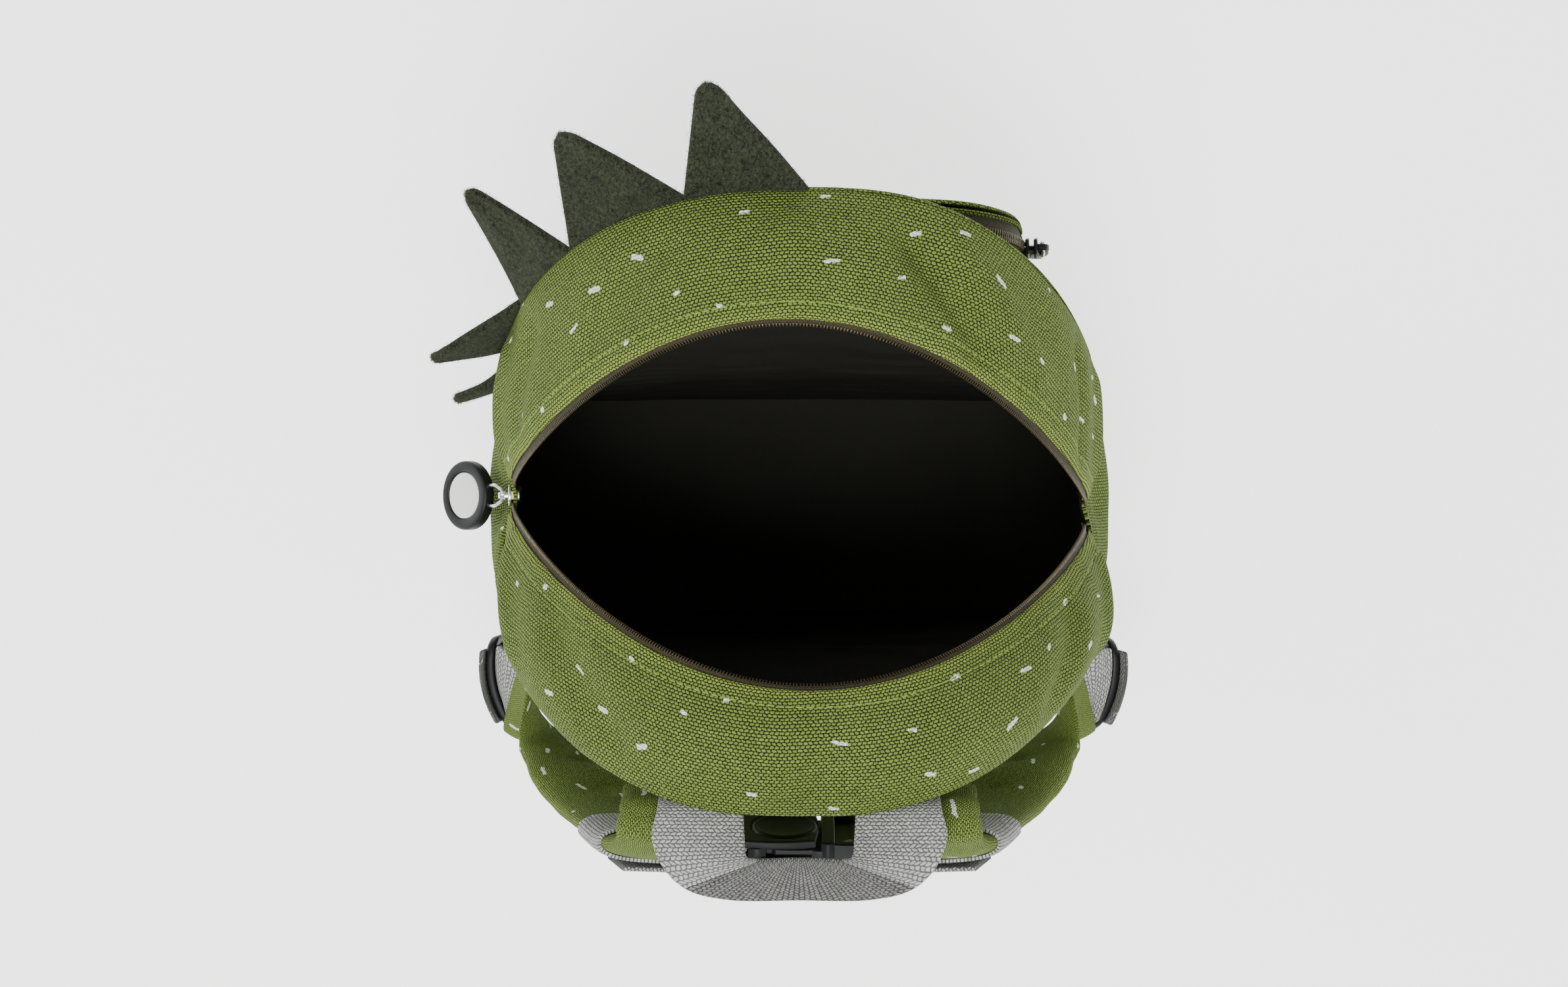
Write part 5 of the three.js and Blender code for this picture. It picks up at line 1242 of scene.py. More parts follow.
ring = wire_ring("pocket_puller_wire", RING_LENGTH, RING_WIDTH, WIRE / 2)
ring.data.transform(Matrix.Translation(Vector(ring_pivot * MM)))
finish_piece(ring, bright_metal, "pocket_puller", ["pocket_puller_ring"])
half_tab = PULL_TAB_WIDTH / 2
low_turn = np.linspace(0, np.pi, 9)
tab_outline = [(half_tab * 0.55, 2.2), (-half_tab * 0.55, 2.2), (-half_tab * 0.8, 0.6),
               (-half_tab, -PULL_TAB_LENGTH * 0.3)]
tab_outline += [(-half_tab * 0.8 * math.cos(a), -PULL_TAB_LENGTH + 0.6 - 1.6 * math.sin(a))
                for a in low_turn]
tab_outline += [(half_tab, -PULL_TAB_LENGTH * 0.3), (half_tab * 0.8, 0.6)]
pull_tab = rounded_plate("pocket_puller_tab_black", tab_outline, PULL_TAB_THICKNESS, 0.6)
placed(pull_tab, Matrix.Rotation(math.pi / 2, 3, "X"), ring_pivot + [0, 0, -RING_LENGTH - 0.3])
finish_piece(pull_tab, black_plastic, "pocket_puller", ["pocket_puller_tab"])


# Five felt spikes are cut from thick dark olive felt and caught in the seam between
# the front panel and its gusset. Their cut edges are soft and fuzzy.
SPIKE_HEIGHT, SPIKE_FOOT, SPIKE_TIP_WIDTH, FELT, FIBRES = 46, 40, 7, 3, 2600
SPIKES = (
    dict(start=-0.004, end=0.088, height=1.04, tilt=41, slide=0.17),
    dict(start=0.09, end=0.2, height=0.97, tilt=32, slide=-0.13),
    dict(start=0.205, end=0.297, height=0.85, tilt=43, slide=-0.11),
    dict(start=0.305, end=0.4, height=0.66, tilt=-24, slide=0.06),
    dict(start=0.46, end=0.53, height=0.51, tilt=-25, slide=0.05),
)


def felt_material():
    made, tree, skin = new_material("dark olive felt")
    place = node(tree, "ShaderNodeTexCoord").outputs["Object"]
    warp = noise_at(tree, place, 350.0, 3.0)
    pushed = shift(tree, "SCALE", warp.outputs["Color"], 0.004)
    moved = shift(tree, "ADD", place, pushed)
    stretched = node(tree, "ShaderNodeMapping", {"Vector": moved, "Scale": (1.0, 0.35, 0.6)})
    fibres = noise_at(tree, stretched.outputs[0], 1200.0, 4.0, 0.75)
    broad = noise_at(tree, place, 120.0, 3.0)
    tone = calc(tree, "MULTIPLY_ADD", broad.outputs[0], 0.12,
                calc(tree, "MULTIPLY", fibres.outputs[0], 0.9))
    ramp = node(tree, "ShaderNodeMapRange", {0: tone, 1: 0.4, 2: 0.64, 3: 0.0, 4: 1.0})
    face = blend_colour(tree, ramp.outputs[0], rgb("080a05"), rgb("3a3f2e"))
    surface(tree, skin, face, tone, 0.9, 0.0009, {
        "Roughness": 0.95, "Specular IOR Level": 0.15, "Sheen Weight": 0.12, "Sheen Roughness": 0.6,
        "Sheen Tint": rgb("8a9078"),
    })
    return made


felt = felt_material()
felt_fibre = thread_material("felt fibre", rgb("565c46"), rgb("1b1e14"))


def eased(count):
    """Shares from 0 to 1 that crowd towards both ends, for soft rims."""
    return 0.5 - 0.5 * np.cos(np.linspace(0, np.pi, count))


def seam_corner(share):
    x, z = outline_at(body_line, share)
    return np.stack([x, -(seam_depth(FRONT, x, z) + CLOTH / 2), z], -1)


def spike_shape(start, end, height, tilt, slide):
    """Grid of the spike's middle layer, with its normal and the distance from its cut edge."""
    centre = (start + end) / 2
    out_x, out_z = outline_out(body_line, centre)
    along = seam_corner(end) - seam_corner(start)
    along /= np.linalg.norm(along)
    leaning = math.radians(tilt)
    lift = np.array([out_x * math.cos(leaning), -math.sin(leaning), out_z * math.cos(leaning)])
    tip = seam_corner(centre) + lift * SPIKE_HEIGHT * height + along * SPIKE_HEIGHT * slide
    u, v = np.meshgrid(eased(34), np.concatenate([[-0.06], eased(44)]), indexing="ij")
    foot = seam_corner(start + (end - start) * u) + lift * (CLOTH / 2 + 0.3)
    rounding = np.sqrt(np.maximum(1 - np.clip((v - 0.9) / 0.1, 0, 1) ** 2, 0.004))
    top = tip + along * ((u - 0.5) * SPIKE_TIP_WIDTH * rounding)[..., None]
    grid = foot + (top - foot) * v[..., None]
    normal = np.cross(lift, along)
    sides = np.minimum(u, 1 - u) * np.linalg.norm(grid[-1] - grid[0], axis=-1)[None]
    ends = (1 - v) * np.linalg.norm(tip - seam_corner(centre))
    uvs = np.stack([u * SPIKE_FOOT, v * SPIKE_HEIGHT], -1)
    uneven = 0.8 * ripple(uvs[..., 0], uvs[..., 1], 40, int(height * 100))
    curl = (uneven + 1.6 * v ** 2 * np.sign(tilt))[..., None]
    return grid + normal * curl, normal, np.minimum(sides, ends), uvs


for number, row in enumerate(SPIKES, 1):
    grid, normal, edge_distance, uvs = spike_shape(**row)
    soft = 1 - (1 - np.clip(edge_distance / 1.4, 0, 1)) ** 2
    half = (FELT / 2 * np.sqrt(np.clip(soft, 0.02, 1)))[..., None]
    spike = slab(f"spike_{number}_felt", grid + normal * half, grid - normal * half, uvs)
    rng = np.random.default_rng(number)
    spots, ways = [], []
    outer = np.stack([grid + normal * half, grid - normal * half])
    for _ in range(FIBRES):
        side = rng.integers(2)
        i, j = rng.integers(grid.shape[0]), rng.integers(grid.shape[1])
        spots.append(outer[side, i, j] + rng.normal(0, 0.25, 3))
        ways.append(rng.normal(0, 1, 3))
    fibre = small_unit("felt fibre", [
        (0, [(0.05, 0), (-0.03, 0.04), (-0.03, -0.04)]), (0.5, [(0.11, 0.1), (0.03, 0.14), (0.03, 0.06)]),
        (1.1, [(0.02, 0.4), (-0.01, 0.42), (-0.01, 0.38)]),
    ])
    hairs = set_along(f"spike_{number}_fuzz", spots, ways, rng.normal(0, 1, (len(spots), 3)), fibre,
                      felt_fibre)
    bpy.data.objects.remove(fibre)
    coloured(spike, felt)
    finish_piece(joined(f"spike_{number}_cut", [spike, hairs]), None, "bag", [f"spike_{number}"])


# The carry handle is a loop of coarse grey webbing sewn into the seam behind the mouth. Its middle turns on
# edge, as the loop is folded to fit the hand, and there it takes a darker copy of the webbing as painted
# shade.
WEBBING, WEBBING_THICKNESS = 30, 1.6
HANDLE_SHADED_REACH, HANDLE_STATIONS = 27, 200
HANDLE_EDGES = (
    dict(inner=(19, 97, 268), outer=(48, 97, 268)),
    dict(inner=(19, 104, 285), outer=(48.5, 104, 285)),
    dict(inner=(18.5, 112, 292), outer=(50, 112, 289)),
    dict(inner=(17.5, 118, 298), outer=(47, 121, 290)),
    dict(inner=(14, 118.6, 302), outer=(39, 130, 285)),
    dict(inner=(8, 118.2, 303), outer=(25, 134.5, 279)),
    dict(inner=(0, 118, 303), outer=(0, 135, 277)),
)


def webbing_material(name, light, dark, gap):
    made, tree, skin = new_material(name)
    place = node(tree, "ShaderNodeVectorRotate", {"Vector": cloth_place(tree), "Angle": math.pi / 2},
                 rotation_type="Z_AXIS").outputs[0]
    weave = use_group(tree, staggered_weave,
                      {"Place": place, "Pitch Along": 1.95, "Pitch Across": 1.35, "Slant": 0.5})
    fine = noise_at(tree, place, 5.0, 3.0)
    tone = calc(tree, "MULTIPLY_ADD", weave.outputs["Tone"], 0.45,
                calc(tree, "MULTIPLY", fine.outputs[0], 0.6))
    face = blend_colour(tree, tone, light, dark)
    woven = blend_colour(tree, calc(tree, "MULTIPLY", weave.outputs["Gap"], 0.85), face, gap)
    height = calc(tree, "MULTIPLY_ADD", fine.outputs[0], 0.5, weave.outputs["Height"])
    surface(tree, skin, woven, height, 0.9, 0.0006, {"Roughness": 0.9, "Specular IOR Level": 0.2})
    return made


grey_webbing = webbing_material("coarse grey webbing", rgb("c8c8c5"), rgb("949491"), rgb("434341"))
# A darker copy of the grey webbing: painted shade for the handle's middle, not a different cloth on its
# reverse.
shaded_webbing_copy = webbing_material("grey webbing painted shade", rgb("8b8b87"), rgb("5a5a57"), rgb("121211"))


def webbing_section(width, thickness, columns=14):
    """A flat section with rounded selvedges, starting at the middle of one of them."""
    half, thin = width / 2, thickness / 2
    face = np.linspace(half - thin, thin - half, columns)
    edge = [(half - thin + thin * math.cos(a), thin * math.sin(a))
            for a in np.linspace(0, np.pi / 2, 4)[:-1]]
    upper_half = edge + [(a, thin) for a in face] + [(-a, b) for a, b in reversed(edge[1:])]
    return np.array(upper_half + [(-a, -b) for a, b in upper_half])


def handle_frames(count):
    """Frames and widths along the loop, from the paths of its two edges."""
    edges = {}
    for edge in ("inner", "outer"):
        right = [np.array(row[edge], float) for row in HANDLE_EDGES]
        edges[edge], _ = curve_through(right + [point * (-1, 1, 1) for point in right[-2::-1]],
                                       np.linspace(0, 1, count))
    place = (edges["inner"] + edges["outer"]) / 2
    across = edges["outer"] - edges["inner"]
    width = np.linalg.norm(across, axis=1)
    wide = across / width[:, None]
    along = np.gradient(place, axis=0)
    along -= wide * (along * wide).sum(1, keepdims=True)
    along /= np.linalg.norm(along, axis=1, keepdims=True)
    return (place, wide, np.cross(along, wide)), width


frames, widths = handle_frames(HANDLE_STATIONS)
sections = np.repeat(webbing_section(WEBBING, WEBBING_THICKNESS)[None], HANDLE_STATIONS, 0)
sections[..., 0] *= (widths / WEBBING)[:, None]
handle = swept("carry_handle_webbing", frames, sections)
finish_piece(handle, grey_webbing, "bag", ["carry_handle"])
# The faces of the handle's middle take the darker webbing copy, painted shade where the folded middle turns
# away from the light.
handle.data.materials.append(shaded_webbing_copy)
in_middle = np.abs(frames[0][:-1, 0]) < HANDLE_SHADED_REACH
painted_shade_faces = np.zeros(len(handle.data.polygons), int)
painted_shade_faces[:-2] = np.repeat(in_middle, sections.shape[1])
handle.data.polygons.foreach_set("material_index", painted_shade_faces)


# The two shoulder straps are padded tubes of finer canvas from the same print. Each
# starts in the seam at the top of the back and curves out and down to its adjuster.
STRAP_WIDTH, STRAP_THICKNESS, STRAP_REACH, STRAP_LENGTH = 46, 9, 128, 330
STRAP_ROWS = (
    dict(across=0.37, back=0.765, up=0.9, wide=0.84, thick=0.4, turn=0),
    dict(across=0.372, back=0.82, up=0.95, wide=0.86, thick=0.6, turn=0),
    dict(across=0.375, back=0.87, up=0.955, wide=0.88, thick=0.8, turn=0),
    dict(across=0.38, back=0.915, up=0.915, wide=0.92, thick=1, turn=0),
    dict(across=0.42, back=0.94, up=0.85, wide=1, thick=1, turn=-4),
    dict(across=0.5, back=0.925, up=0.75, wide=1, thick=1, turn=-6),
    dict(across=0.6, back=0.895, up=0.64, wide=1, thick=1, turn=-8),
    dict(across=0.715, back=0.825, up=0.545, wide=1, thick=1, turn=-12),
    dict(across=0.814, back=0.758, up=0.46, wide=0.94, thick=1, turn=-26),
    dict(across=1, back=0.6, up=0.4, wide=0.78, thick=0.6, turn=-72),
)
LABELS = (("left", 1), ("right", -1))
strap_canvas = canvas_material("strap canvas", rgb("8a9f4c"), rgb("667a30"), rgb("232d13"), 24.0,
                               pitch=(1.0, 0.75))


def strap_frames(mirror, count):
    places = [(mirror * row["across"] * HALF_WIDTH, row["back"] * STRAP_REACH, row["up"] * SEAM_TOP)
              for row in STRAP_ROWS]
    turns = [math.radians(row["turn"]) for row in STRAP_ROWS]
    return frames_through(places, [(mirror * math.cos(a), math.sin(a), 0) for a in turns], count)


def strap_size(shares):
    at = np.asarray(shares) * (len(STRAP_ROWS) - 1)
    steps = np.arange(len(STRAP_ROWS))
    return (STRAP_WIDTH * np.interp(at, steps, [row["wide"] for row in STRAP_ROWS]),
            STRAP_THICKNESS * np.interp(at, steps, [row["thick"] for row in STRAP_ROWS]))


def pad_section(columns=26):
    """A cushioned section of half width 1 and half thickness 1, with flat sewn edges."""
    across = np.sin(np.linspace(np.pi / 2, -np.pi / 2, columns))
    plump = 0.16 + 0.84 * (1 - np.abs(across) ** 4.5) ** 0.6
    upper_half = [(1, 0.0)] + list(zip(across, plump))
    return np.array(upper_half + [(-a, -b) for a, b in upper_half])


STRAP_FOLDS = ((0.06, 5, 1.0), (0.15, 6, 1.3), (0.27, 8, 0.9), (0.39, 7, 0.8), (0.58, 8, 0.9),
               (0.72, 7, 1.1), (0.83, 6, 1.5), (0.92, 5, 1.2))


def strap_grid(seed, length):
    """Furrows across the strap at its bends, and a slow unevenness all over, laid on a swept grid."""
    def moved(grid):
        middle = grid.mean(1, keepdims=True)
        away = grid - middle
        reach = np.linalg.norm(away, axis=2, keepdims=True)
        share = np.linspace(0, 1, grid.shape[0])[:, None, None]
        around = np.linspace(0, 1, grid.shape[1], endpoint=False)[None, :, None]
        fold = sum(
            -depth * np.exp(-(((share - at) * length + 3 * np.sin(2 * np.pi * around + seed)) / width) ** 2)
            for at, width, depth in STRAP_FOLDS)
        broad = ripple(share * length, around * 90, 34, seed)
        uneven = 0.5 * broad + 0.3 * ripple(share * length, around * 90, 13, seed + 1)
        reach = np.maximum(reach, 1)
        return grid + away / reach * np.minimum(1, 8 / reach) * (fold + uneven)
    return moved


straps = {}
for label, mirror in LABELS:
    frames = strap_frames(mirror, 260)
    width, thickness = strap_size(frames[4])
    sections = pad_section()[None] * np.stack([width / 2, thickness / 2], 1)[:, None]
    strap = swept(f"shoulder_strap_{label}_padded", frames, sections,
                  moved=strap_grid(70 + mirror, STRAP_LENGTH))
    finish_piece(strap, strap_canvas, "bag", [f"shoulder_strap_{label}"])
    straps[label] = frames


# A band of grey webbing goes round each strap where the chest strap leaves it.
BAND_SHARE, BAND_HALF_SHARE = 0.5, 0.06
for label, mirror in LABELS:
    place, wide, thick, along, shares = straps[label]
    near = np.abs(shares - BAND_SHARE) <= BAND_HALF_SHARE
    section = pad_section(20) * [STRAP_WIDTH / 2 + 1.2, STRAP_THICKNESS / 2 + 1.6]
    loop = np.concatenate([section, section[:1]])
    grid = place[near][:, None] + wide[near][:, None] * loop[None, :, :1]
    grid = grid + thick[near][:, None] * loop[None, :, 1:]
    uvs = sheet_uvs(grid)[..., ::-1]
    band = sheet(f"chest_band_{label}_webbing", grid, 1.2, -1, uvs)
    finish_piece(band, grey_webbing, "bag", [f"chest_band_{label}"])


# Black ladder locks join the straps' lower ends to webbing that is sewn into the
# bag's sides near its base. Each is a bowed frame with a bar across its middle.
ADJUSTER_SPOT = dict(across=1.08, back=0.565, up=0.3)
ADJUSTER_TURN, ADJUSTER_TILTS, ADJUSTER_BOW = math.radians(78), dict(left=4, right=14), 4.5
ADJUSTER_WIDTH, ADJUSTER_HEIGHT, ADJUSTER_BAR, ADJUSTER_SLOT_SHARE = 38, 34, 4, 0.4
TAIL_LENGTH = 55
SEWN_ROWS = ((0.27, 0.81), (0.2, 0.74), (0.13, 0.67))


def adjuster_frame(mirror, tilt):
    """Origin and the directions across, up and out of a ladder lock."""
    wide = np.array([mirror * math.cos(ADJUSTER_TURN), -math.sin(ADJUSTER_TURN), 0])
    out = np.array([mirror * math.sin(ADJUSTER_TURN), math.cos(ADJUSTER_TURN), 0])
    up = np.array([0, 0, 1]) * math.cos(tilt) + out * math.sin(tilt)
    if np.dot(np.cross(wide, up), out) < 0:
        wide = -wide
    place = np.array([mirror * ADJUSTER_SPOT["across"] * HALF_WIDTH, ADJUSTER_SPOT["back"] * STRAP_REACH,
                      ADJUSTER_SPOT["up"] * SEAM_TOP])
    return place, wide, up, np.cross(wide, up)


def bowed(frame):
    """Bends whatever lies near a ladder lock to the bow of its bars."""
    place, wide, up, out = frame

    def moved(grid):
        local = grid - place
        across, height = local @ wide, local @ up
        fade = np.clip(1 - (np.abs(height) - ADJUSTER_HEIGHT / 2) / 22, 0, 1)
        fade = fade * fade * (3 - 2 * fade)
        drop = ADJUSTER_BOW * (across / (ADJUSTER_WIDTH / 2)) ** 2 * fade
        return grid - out * drop[..., None]
    return moved


def lock_bars(name, frame):
    place, wide, up, out = frame
    bar = ADJUSTER_BAR / 2
    half_w, half_h = ADJUSTER_WIDTH / 2 - bar, ADJUSTER_HEIGHT / 2 - bar
    bend = 5.0
    corner = np.linspace(0, np.pi / 2, 7)
    path = []
    for sx, sy, start in ((1, 1, 0), (-1, 1, 1), (-1, -1, 2), (1, -1, 3)):
        for a in corner + start * np.pi / 2:
            path.append((sx * (half_w - bend) + bend * math.cos(a),
                         sy * (half_h - bend) + bend * math.sin(a)))
    path = np.array(path)
    closed = np.concatenate([path, path[:1]])
    length = np.concatenate([[0], np.cumsum(np.linalg.norm(np.diff(closed, axis=0), axis=1))])
    even = np.linspace(0, length[-1], 140, endpoint=False)
    path = np.stack([np.interp(even, length, closed[:, k]) for k in (0, 1)], 1)
    ahead = np.roll(path, -1, 0) - np.roll(path, 1, 0)
    ahead /= np.linalg.norm(ahead, axis=1, keepdims=True)
    side = np.stack([ahead[:, 1], -ahead[:, 0]], 1)
    spot = place + path[:, :1] * wide + path[:, 1:] * up
    sideways = side[:, :1] * wide + side[:, 1:] * up
    soft = np.array([(a, b) for a, b in (
        (1, 0.45), (0.8, 0.8), (0.4, 0.98), (-0.4, 0.98), (-0.8, 0.8), (-1, 0.45),
        (-1, -0.45), (-0.8, -0.8), (-0.4, -0.98), (0.4, -0.98), (0.8, -0.8), (1, -0.45))]) * bar
    outer = swept(name + "_frame", (spot, sideways, np.broadcast_to(out, spot.shape)), soft, True,
                  bowed(frame))
    middle = ADJUSTER_HEIGHT / 2 - ADJUSTER_BAR * 1.5 - ADJUSTER_HEIGHT * ADJUSTER_SLOT_SHARE
    reach = np.linspace(-half_w, half_w, 40)
    spot = place + reach[:, None] * wide + middle * up
    bar_frames = (spot, np.broadcast_to(up, spot.shape), np.broadcast_to(out, spot.shape))
    cross_bar = swept(name + "_bar", bar_frames, soft, False, bowed(frame))
    return joined(name, [outer, cross_bar])


def local_ribbon(name, frame, points, tail_places, tail_wides):
    place, wide, up, out = frame
    places = [place + y * up + z * out for y, z in points] + list(tail_places)
    frames = frames_through(places, [wide] * len(points) + list(tail_wides), 190)
    return swept(name, frames, webbing_section(WEBBING, WEBBING_THICKNESS), False, bowed(frame))


def sewn_place(mirror, height, v):
    share = share_at_height(body_line, ZIP_END_HEIGHT * height)
    t = (share - zip_share) / (2 * (1 - zip_share))
    return lower_point(np.array(t if mirror > 0 else 1 - t), np.array(float(v)))


for label, mirror in LABELS:
    frame = adjuster_frame(mirror, math.radians(ADJUSTER_TILTS[label]))
    lock = lock_bars(f"strap_adjuster_{label}_lock", frame)
    finish_piece(lock, black_plastic, "bag", [f"strap_adjuster_{label}"])
    half_height = ADJUSTER_HEIGHT / 2
    off = ADJUSTER_BAR / 2 + 0.3 + WEBBING_THICKNESS / 2
    slot_top = half_height - ADJUSTER_BAR
    slot_low = slot_top - ADJUSTER_HEIGHT * ADJUSTER_SLOT_SHARE
    bend = [(math.cos(math.radians(a)), math.sin(math.radians(a))) for a in (90, 45, 0, -45, -90)]
    place, wide, thick, along, _ = straps[label]
    end_wide = wide[-1] * np.sign(np.dot(wide[-1], frame[1]))
    loop = [(half_height + WEBBING_THICKNESS * 2, off), (half_height, off)]
    loop += [(slot_top - off * c, off * s) for c, s in bend]
    loop += [(half_height, -off), (half_height + WEBBING_THICKNESS * 2, -off * 1.3)]
    seats = [place[-1] + along[-1] * clear * 0.9 for clear in (6, -3)]
    made = local_ribbon(f"strap_loop_{label}_webbing", frame, loop, seats, [end_wide, end_wide])
    finish_piece(made, grey_webbing, "bag", [f"strap_loop_{label}"])
    tail = [(-half_height - TAIL_LENGTH, off * 2.2), (-half_height - TAIL_LENGTH / 2, off * 1.8),
            (-half_height, off)]
    tail += [(slot_low + off * c, off * s) for c, s in bend]
    tail += [(-half_height, -off * 1.1), (-half_height - WEBBING_THICKNESS * 2, -off * 1.5)]
    spots = [sewn_place(mirror, *row) for row in SEWN_ROWS]
    run = spots[-1] - spots[0]
    seats, seat_wides = [], []
    for (height, v), spot in zip(SEWN_ROWS, spots):
        normal = np.cross(sewn_place(mirror, height, v - 0.02) - spot,
                          sewn_place(mirror, height + 0.02, v) - spot)
        normal *= np.sign(normal[0] * mirror) / np.linalg.norm(normal)
        across = np.cross(normal, run)
        seats.append(spot + normal * (WEBBING_THICKNESS / 2 + 1.5))
        seat_wides.append(across * np.sign(np.dot(across, frame[1])))
    made = local_ribbon(f"strap_webbing_{label}_webbing", frame, tail, seats, seat_wides)
    finish_piece(made, grey_webbing, "bag", [f"strap_webbing_{label}"])


# The chest strap is narrower webbing from each band to a black side-release buckle
# behind the handle. The socket has a round dished press pad on its face.
CHEST_HEIGHT, CHEST_BACK, CHEST_WEBBING = 0.735, 0.945, 24
BUCKLE_WIDTH, BUCKLE_THICKNESS, BUCKLE_TILT = 32, 9, math.radians(15)
BUCKLE_SOCKET, BUCKLE_PLUG = 26, 14
buckle_spot = np.array([0, CHEST_BACK * STRAP_REACH, CHEST_HEIGHT * SEAM_TOP])
for label, mirror in LABELS:
    place, wide, thick, along, shares = straps[label]
    at = int(np.argmin(np.abs(shares - BAND_SHARE)))
    out = thick[at] * np.sign(thick[at][1])
    inward = -mirror * np.sign(wide[at][0]) * wide[at]
    centre = place[at] + out * (STRAP_THICKNESS / 2 + 1.2 + WEBBING_THICKNESS * 1.5 + 0.3)
    up = np.array([0, -math.sin(BUCKLE_TILT), -math.cos(BUCKLE_TILT)])
    end = BUCKLE_SOCKET * 0.72 if mirror > 0 else BUCKLE_SOCKET * 0.28 + BUCKLE_PLUG * 0.62
    rows = [centre - inward * STRAP_WIDTH * 0.3, centre, centre + inward * STRAP_WIDTH * 0.36,
            buckle_spot + [mirror * (end + BUCKLE_THICKNESS / 2), 0, 0],
            buckle_spot + [mirror * (end + 0.3), 0, 0]]
    frames = frames_through(rows, [along[at]] * 3 + [up, up], 120)
    made = swept(f"chest_webbing_{label}_webbing", frames,
                 webbing_section(CHEST_WEBBING, WEBBING_THICKNESS))
    finish_piece(made, grey_webbing, "bag", [f"chest_webbing_{label}"])


def soft_block(name, x_range, y_range, z_range, corner, relief=None, rim=0.9):
    """A block with rounded corners seen from +Z, and a relief pressed into its front face."""
    (x0, x1), (y0, y1), (z0, z1) = x_range, y_range, z_range
    a, b = np.meshgrid(eased(70) * 2 - 1, eased(70) * 2 - 1, indexing="ij")
    square = np.maximum(np.abs(a), np.abs(b))
    round_by = square / np.maximum(np.hypot(a, b), 1e-6)
    keep = 1 - corner * (1 - round_by) * square ** 4
    x = (x0 + x1) / 2 + a * keep * (x1 - x0) / 2
    y = (y0 + y1) / 2 + b * keep * (y1 - y0) / 2
    inset = np.minimum((1 - np.abs(a)) * (x1 - x0) / 2, (1 - np.abs(b)) * (y1 - y0) / 2)
    soft = rim * (1 - np.sqrt(1 - (1 - np.clip(inset / rim, 0, 1)) ** 2))
    sunk = 0 if relief is None else relief(x, y)
    front = np.stack([x, y, z1 - soft + sunk], -1)
    back = np.stack([x, y, z0 + soft], -1)
    return slab(name, front, back, np.stack([x, y], -1))


def press_pad(x, y):
    """A shallow round dish with a raised ring and a groove outside it."""
    away = np.hypot(x - BUCKLE_SOCKET * 0.48, y)
    dish_part = -1.5 * np.clip(1 - (away / 10.2) ** 2, 0, 1)
    ring = 0.5 * np.exp(-((away - 10.8) / 0.7) ** 2)
    groove = -0.9 * np.exp(-((away - 12.2) / 0.5) ** 2)
    return dish_part + ring + groove


split = -BUCKLE_SOCKET * 0.28
buckle_turn = Matrix.Rotation(math.pi / 2 - BUCKLE_TILT, 3, "X")
half = BUCKLE_WIDTH / 2
thin = BUCKLE_THICKNESS / 2
socket = joined("chest_buckle_socket_black", [
    soft_block("socket_front", (0, BUCKLE_SOCKET + 3), (-half, half), (1.3, thin), 0.3, press_pad),
    soft_block("socket_back", (0, BUCKLE_SOCKET + 3), (-half, half), (-thin, -1.5), 0.3),
    soft_block("socket_core", (1.5, BUCKLE_SOCKET - 0.6), (-half + 3.4, half - 3.4), (-2.2, 2), 0.2),
    soft_block("socket_end", (BUCKLE_SOCKET - 7, BUCKLE_SOCKET - 0.2),
               (-half + 0.3, half - 0.3), (-2.2, 2), 0.2),
    soft_block("prong_upper", (-1.5, BUCKLE_SOCKET - 9), (half - 3.6, half - 1.0), (-1.4, 1.2), 0.5),
    soft_block("prong_lower", (-1.5, BUCKLE_SOCKET - 9), (-half + 1.0, -half + 3.6), (-1.4, 1.2), 0.5),
])
placed(socket, buckle_turn, buckle_spot + [split + 0.15, 0, 0])
finish_piece(socket, black_plastic, "bag", ["chest_buckle_socket"])
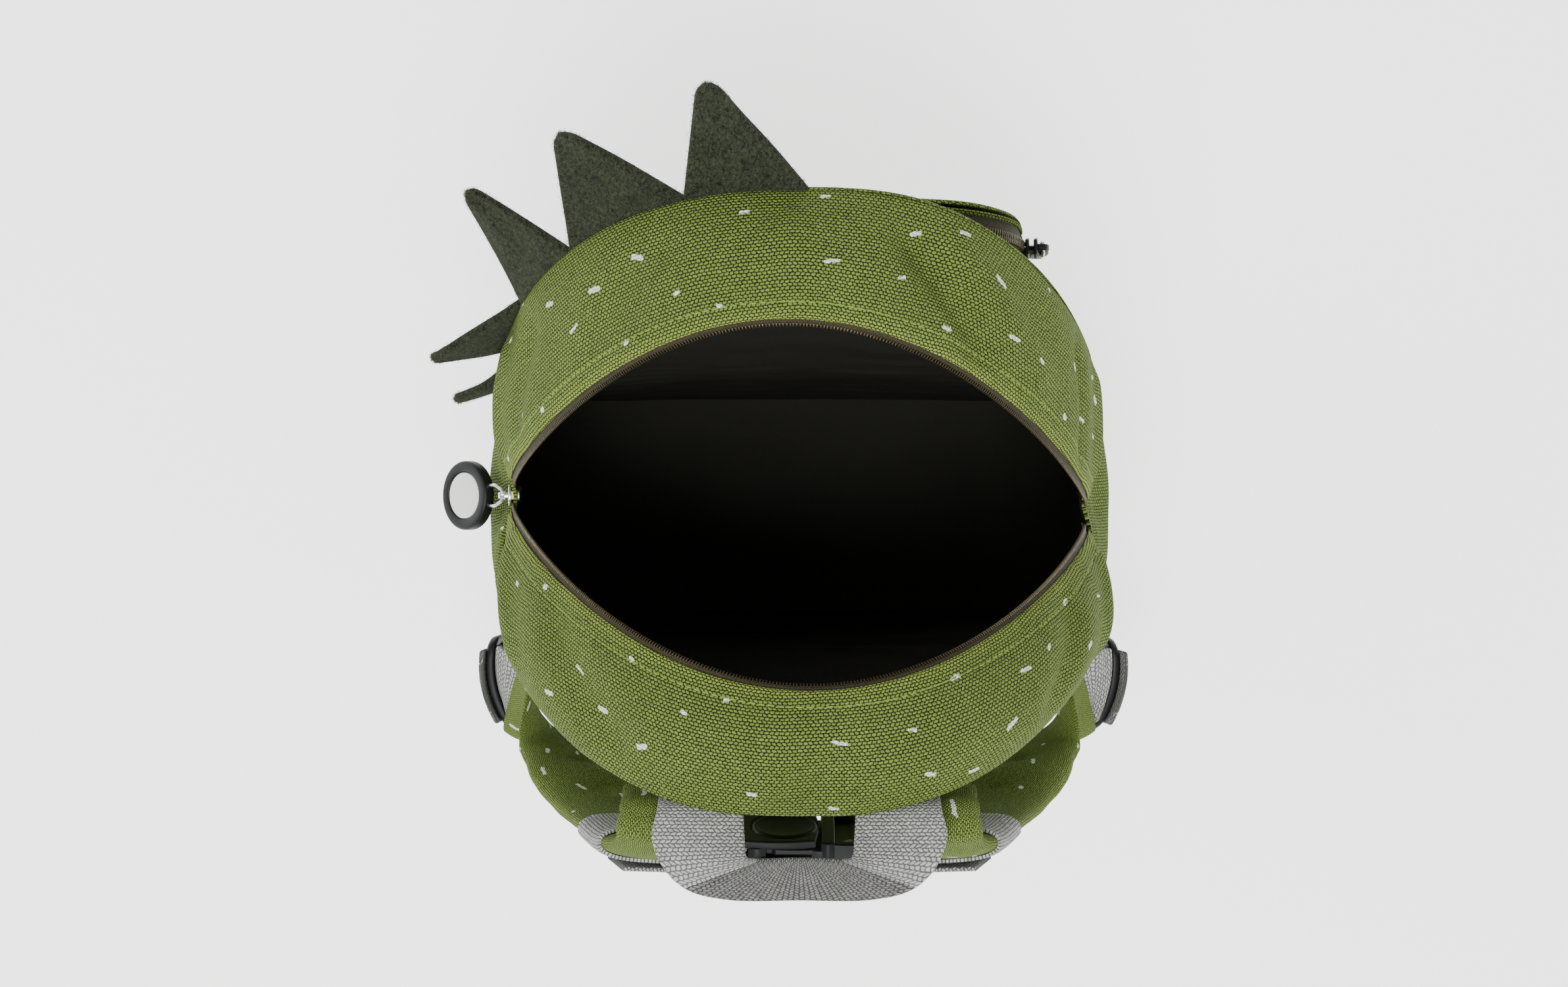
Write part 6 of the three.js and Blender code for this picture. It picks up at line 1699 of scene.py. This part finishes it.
plug = joined("chest_buckle_plug_black", [
    soft_block("plug_shoulder", (-5.5, -0.2), (-half, half), (-thin, thin - 0.6), 0.2),
    soft_block("plug_rail_upper", (-BUCKLE_PLUG, -4.5),
               (half - 4.2, half - 0.4), (-thin + 1, thin - 1.2), 0.4),
    soft_block("plug_rail_lower", (-BUCKLE_PLUG, -4.5),
               (-half + 0.4, -half + 4.2), (-thin + 1, thin - 1.2), 0.4),
    soft_block("plug_collar", (-3, 3), (-half + 0.6, half - 0.6), (-thin + 1.5, 1.0), 0.1),
    soft_block("plug_plate", (-BUCKLE_PLUG + 2, 4), (-half + 3, half - 3), (-1.2, 1.2), 0.2),
    soft_block("plug_bar", (-BUCKLE_PLUG, -BUCKLE_PLUG + 3.2), (-half + 1, half - 1), (-1.6, 1.6), 0.3),
])
placed(plug, buckle_turn, buckle_spot + [split - 0.15, 0, 0])
finish_piece(plug, black_plastic, "bag", ["chest_buckle_plug"])


# The bag stands on a pale sweep under two large soft boxes and a fill, so that it
# is lit evenly from above with hardly a shadow.
FLOOR_GLOW, FLOOR_REACH = 1.6, 14


def pale_floor():
    mesh = bpy.data.meshes.new("floor")
    corners = [(x * FLOOR_REACH, y * FLOOR_REACH, 0) for x, y in ((-1, -1), (1, -1), (1, 1), (-1, 1))]
    mesh.from_pydata(corners, [], [(0, 1, 2, 3)])
    floor = bpy.data.objects.new("floor", mesh)
    bpy.context.scene.collection.objects.link(floor)
    made, tree, skin = new_material("pale floor")
    feed(tree, skin, {
        "Base Color": (0.97, 0.97, 0.97, 1), "Emission Color": (1, 1, 1, 1),
        "Emission Strength": FLOOR_GLOW, "Roughness": 1.0,
    })
    mesh.materials.append(made)


def soft_box(name, place, size, power, aim=(0, 0, 0.15)):
    light = bpy.data.lights.new(name, "AREA")
    light.shape = "RECTANGLE"
    light.size, light.size_y = size
    light.energy = power
    thing = bpy.data.objects.new(name, light)
    thing.location = place
    thing.rotation_euler = (Vector(aim) - Vector(place)).to_track_quat("-Z", "Y").to_euler()
    bpy.context.scene.collection.objects.link(thing)


pale_floor()
soft_box("overhead soft box", (0.1, 0.62, 2.0), (0.9, 0.7), 46)
soft_box("side soft box", (1.6, -0.3, 1.4), (1.0, 1.0), 13)
soft_box("fill soft box", (-1.5, 0.6, 1.3), (1.2, 1.2), 7)
world = bpy.data.worlds.new("studio")
world.use_nodes = True
world.node_tree.nodes["Background"].inputs["Color"].default_value = (1, 1, 1, 1)
world.node_tree.nodes["Background"].inputs["Strength"].default_value = 0.5
bpy.context.scene.world = world
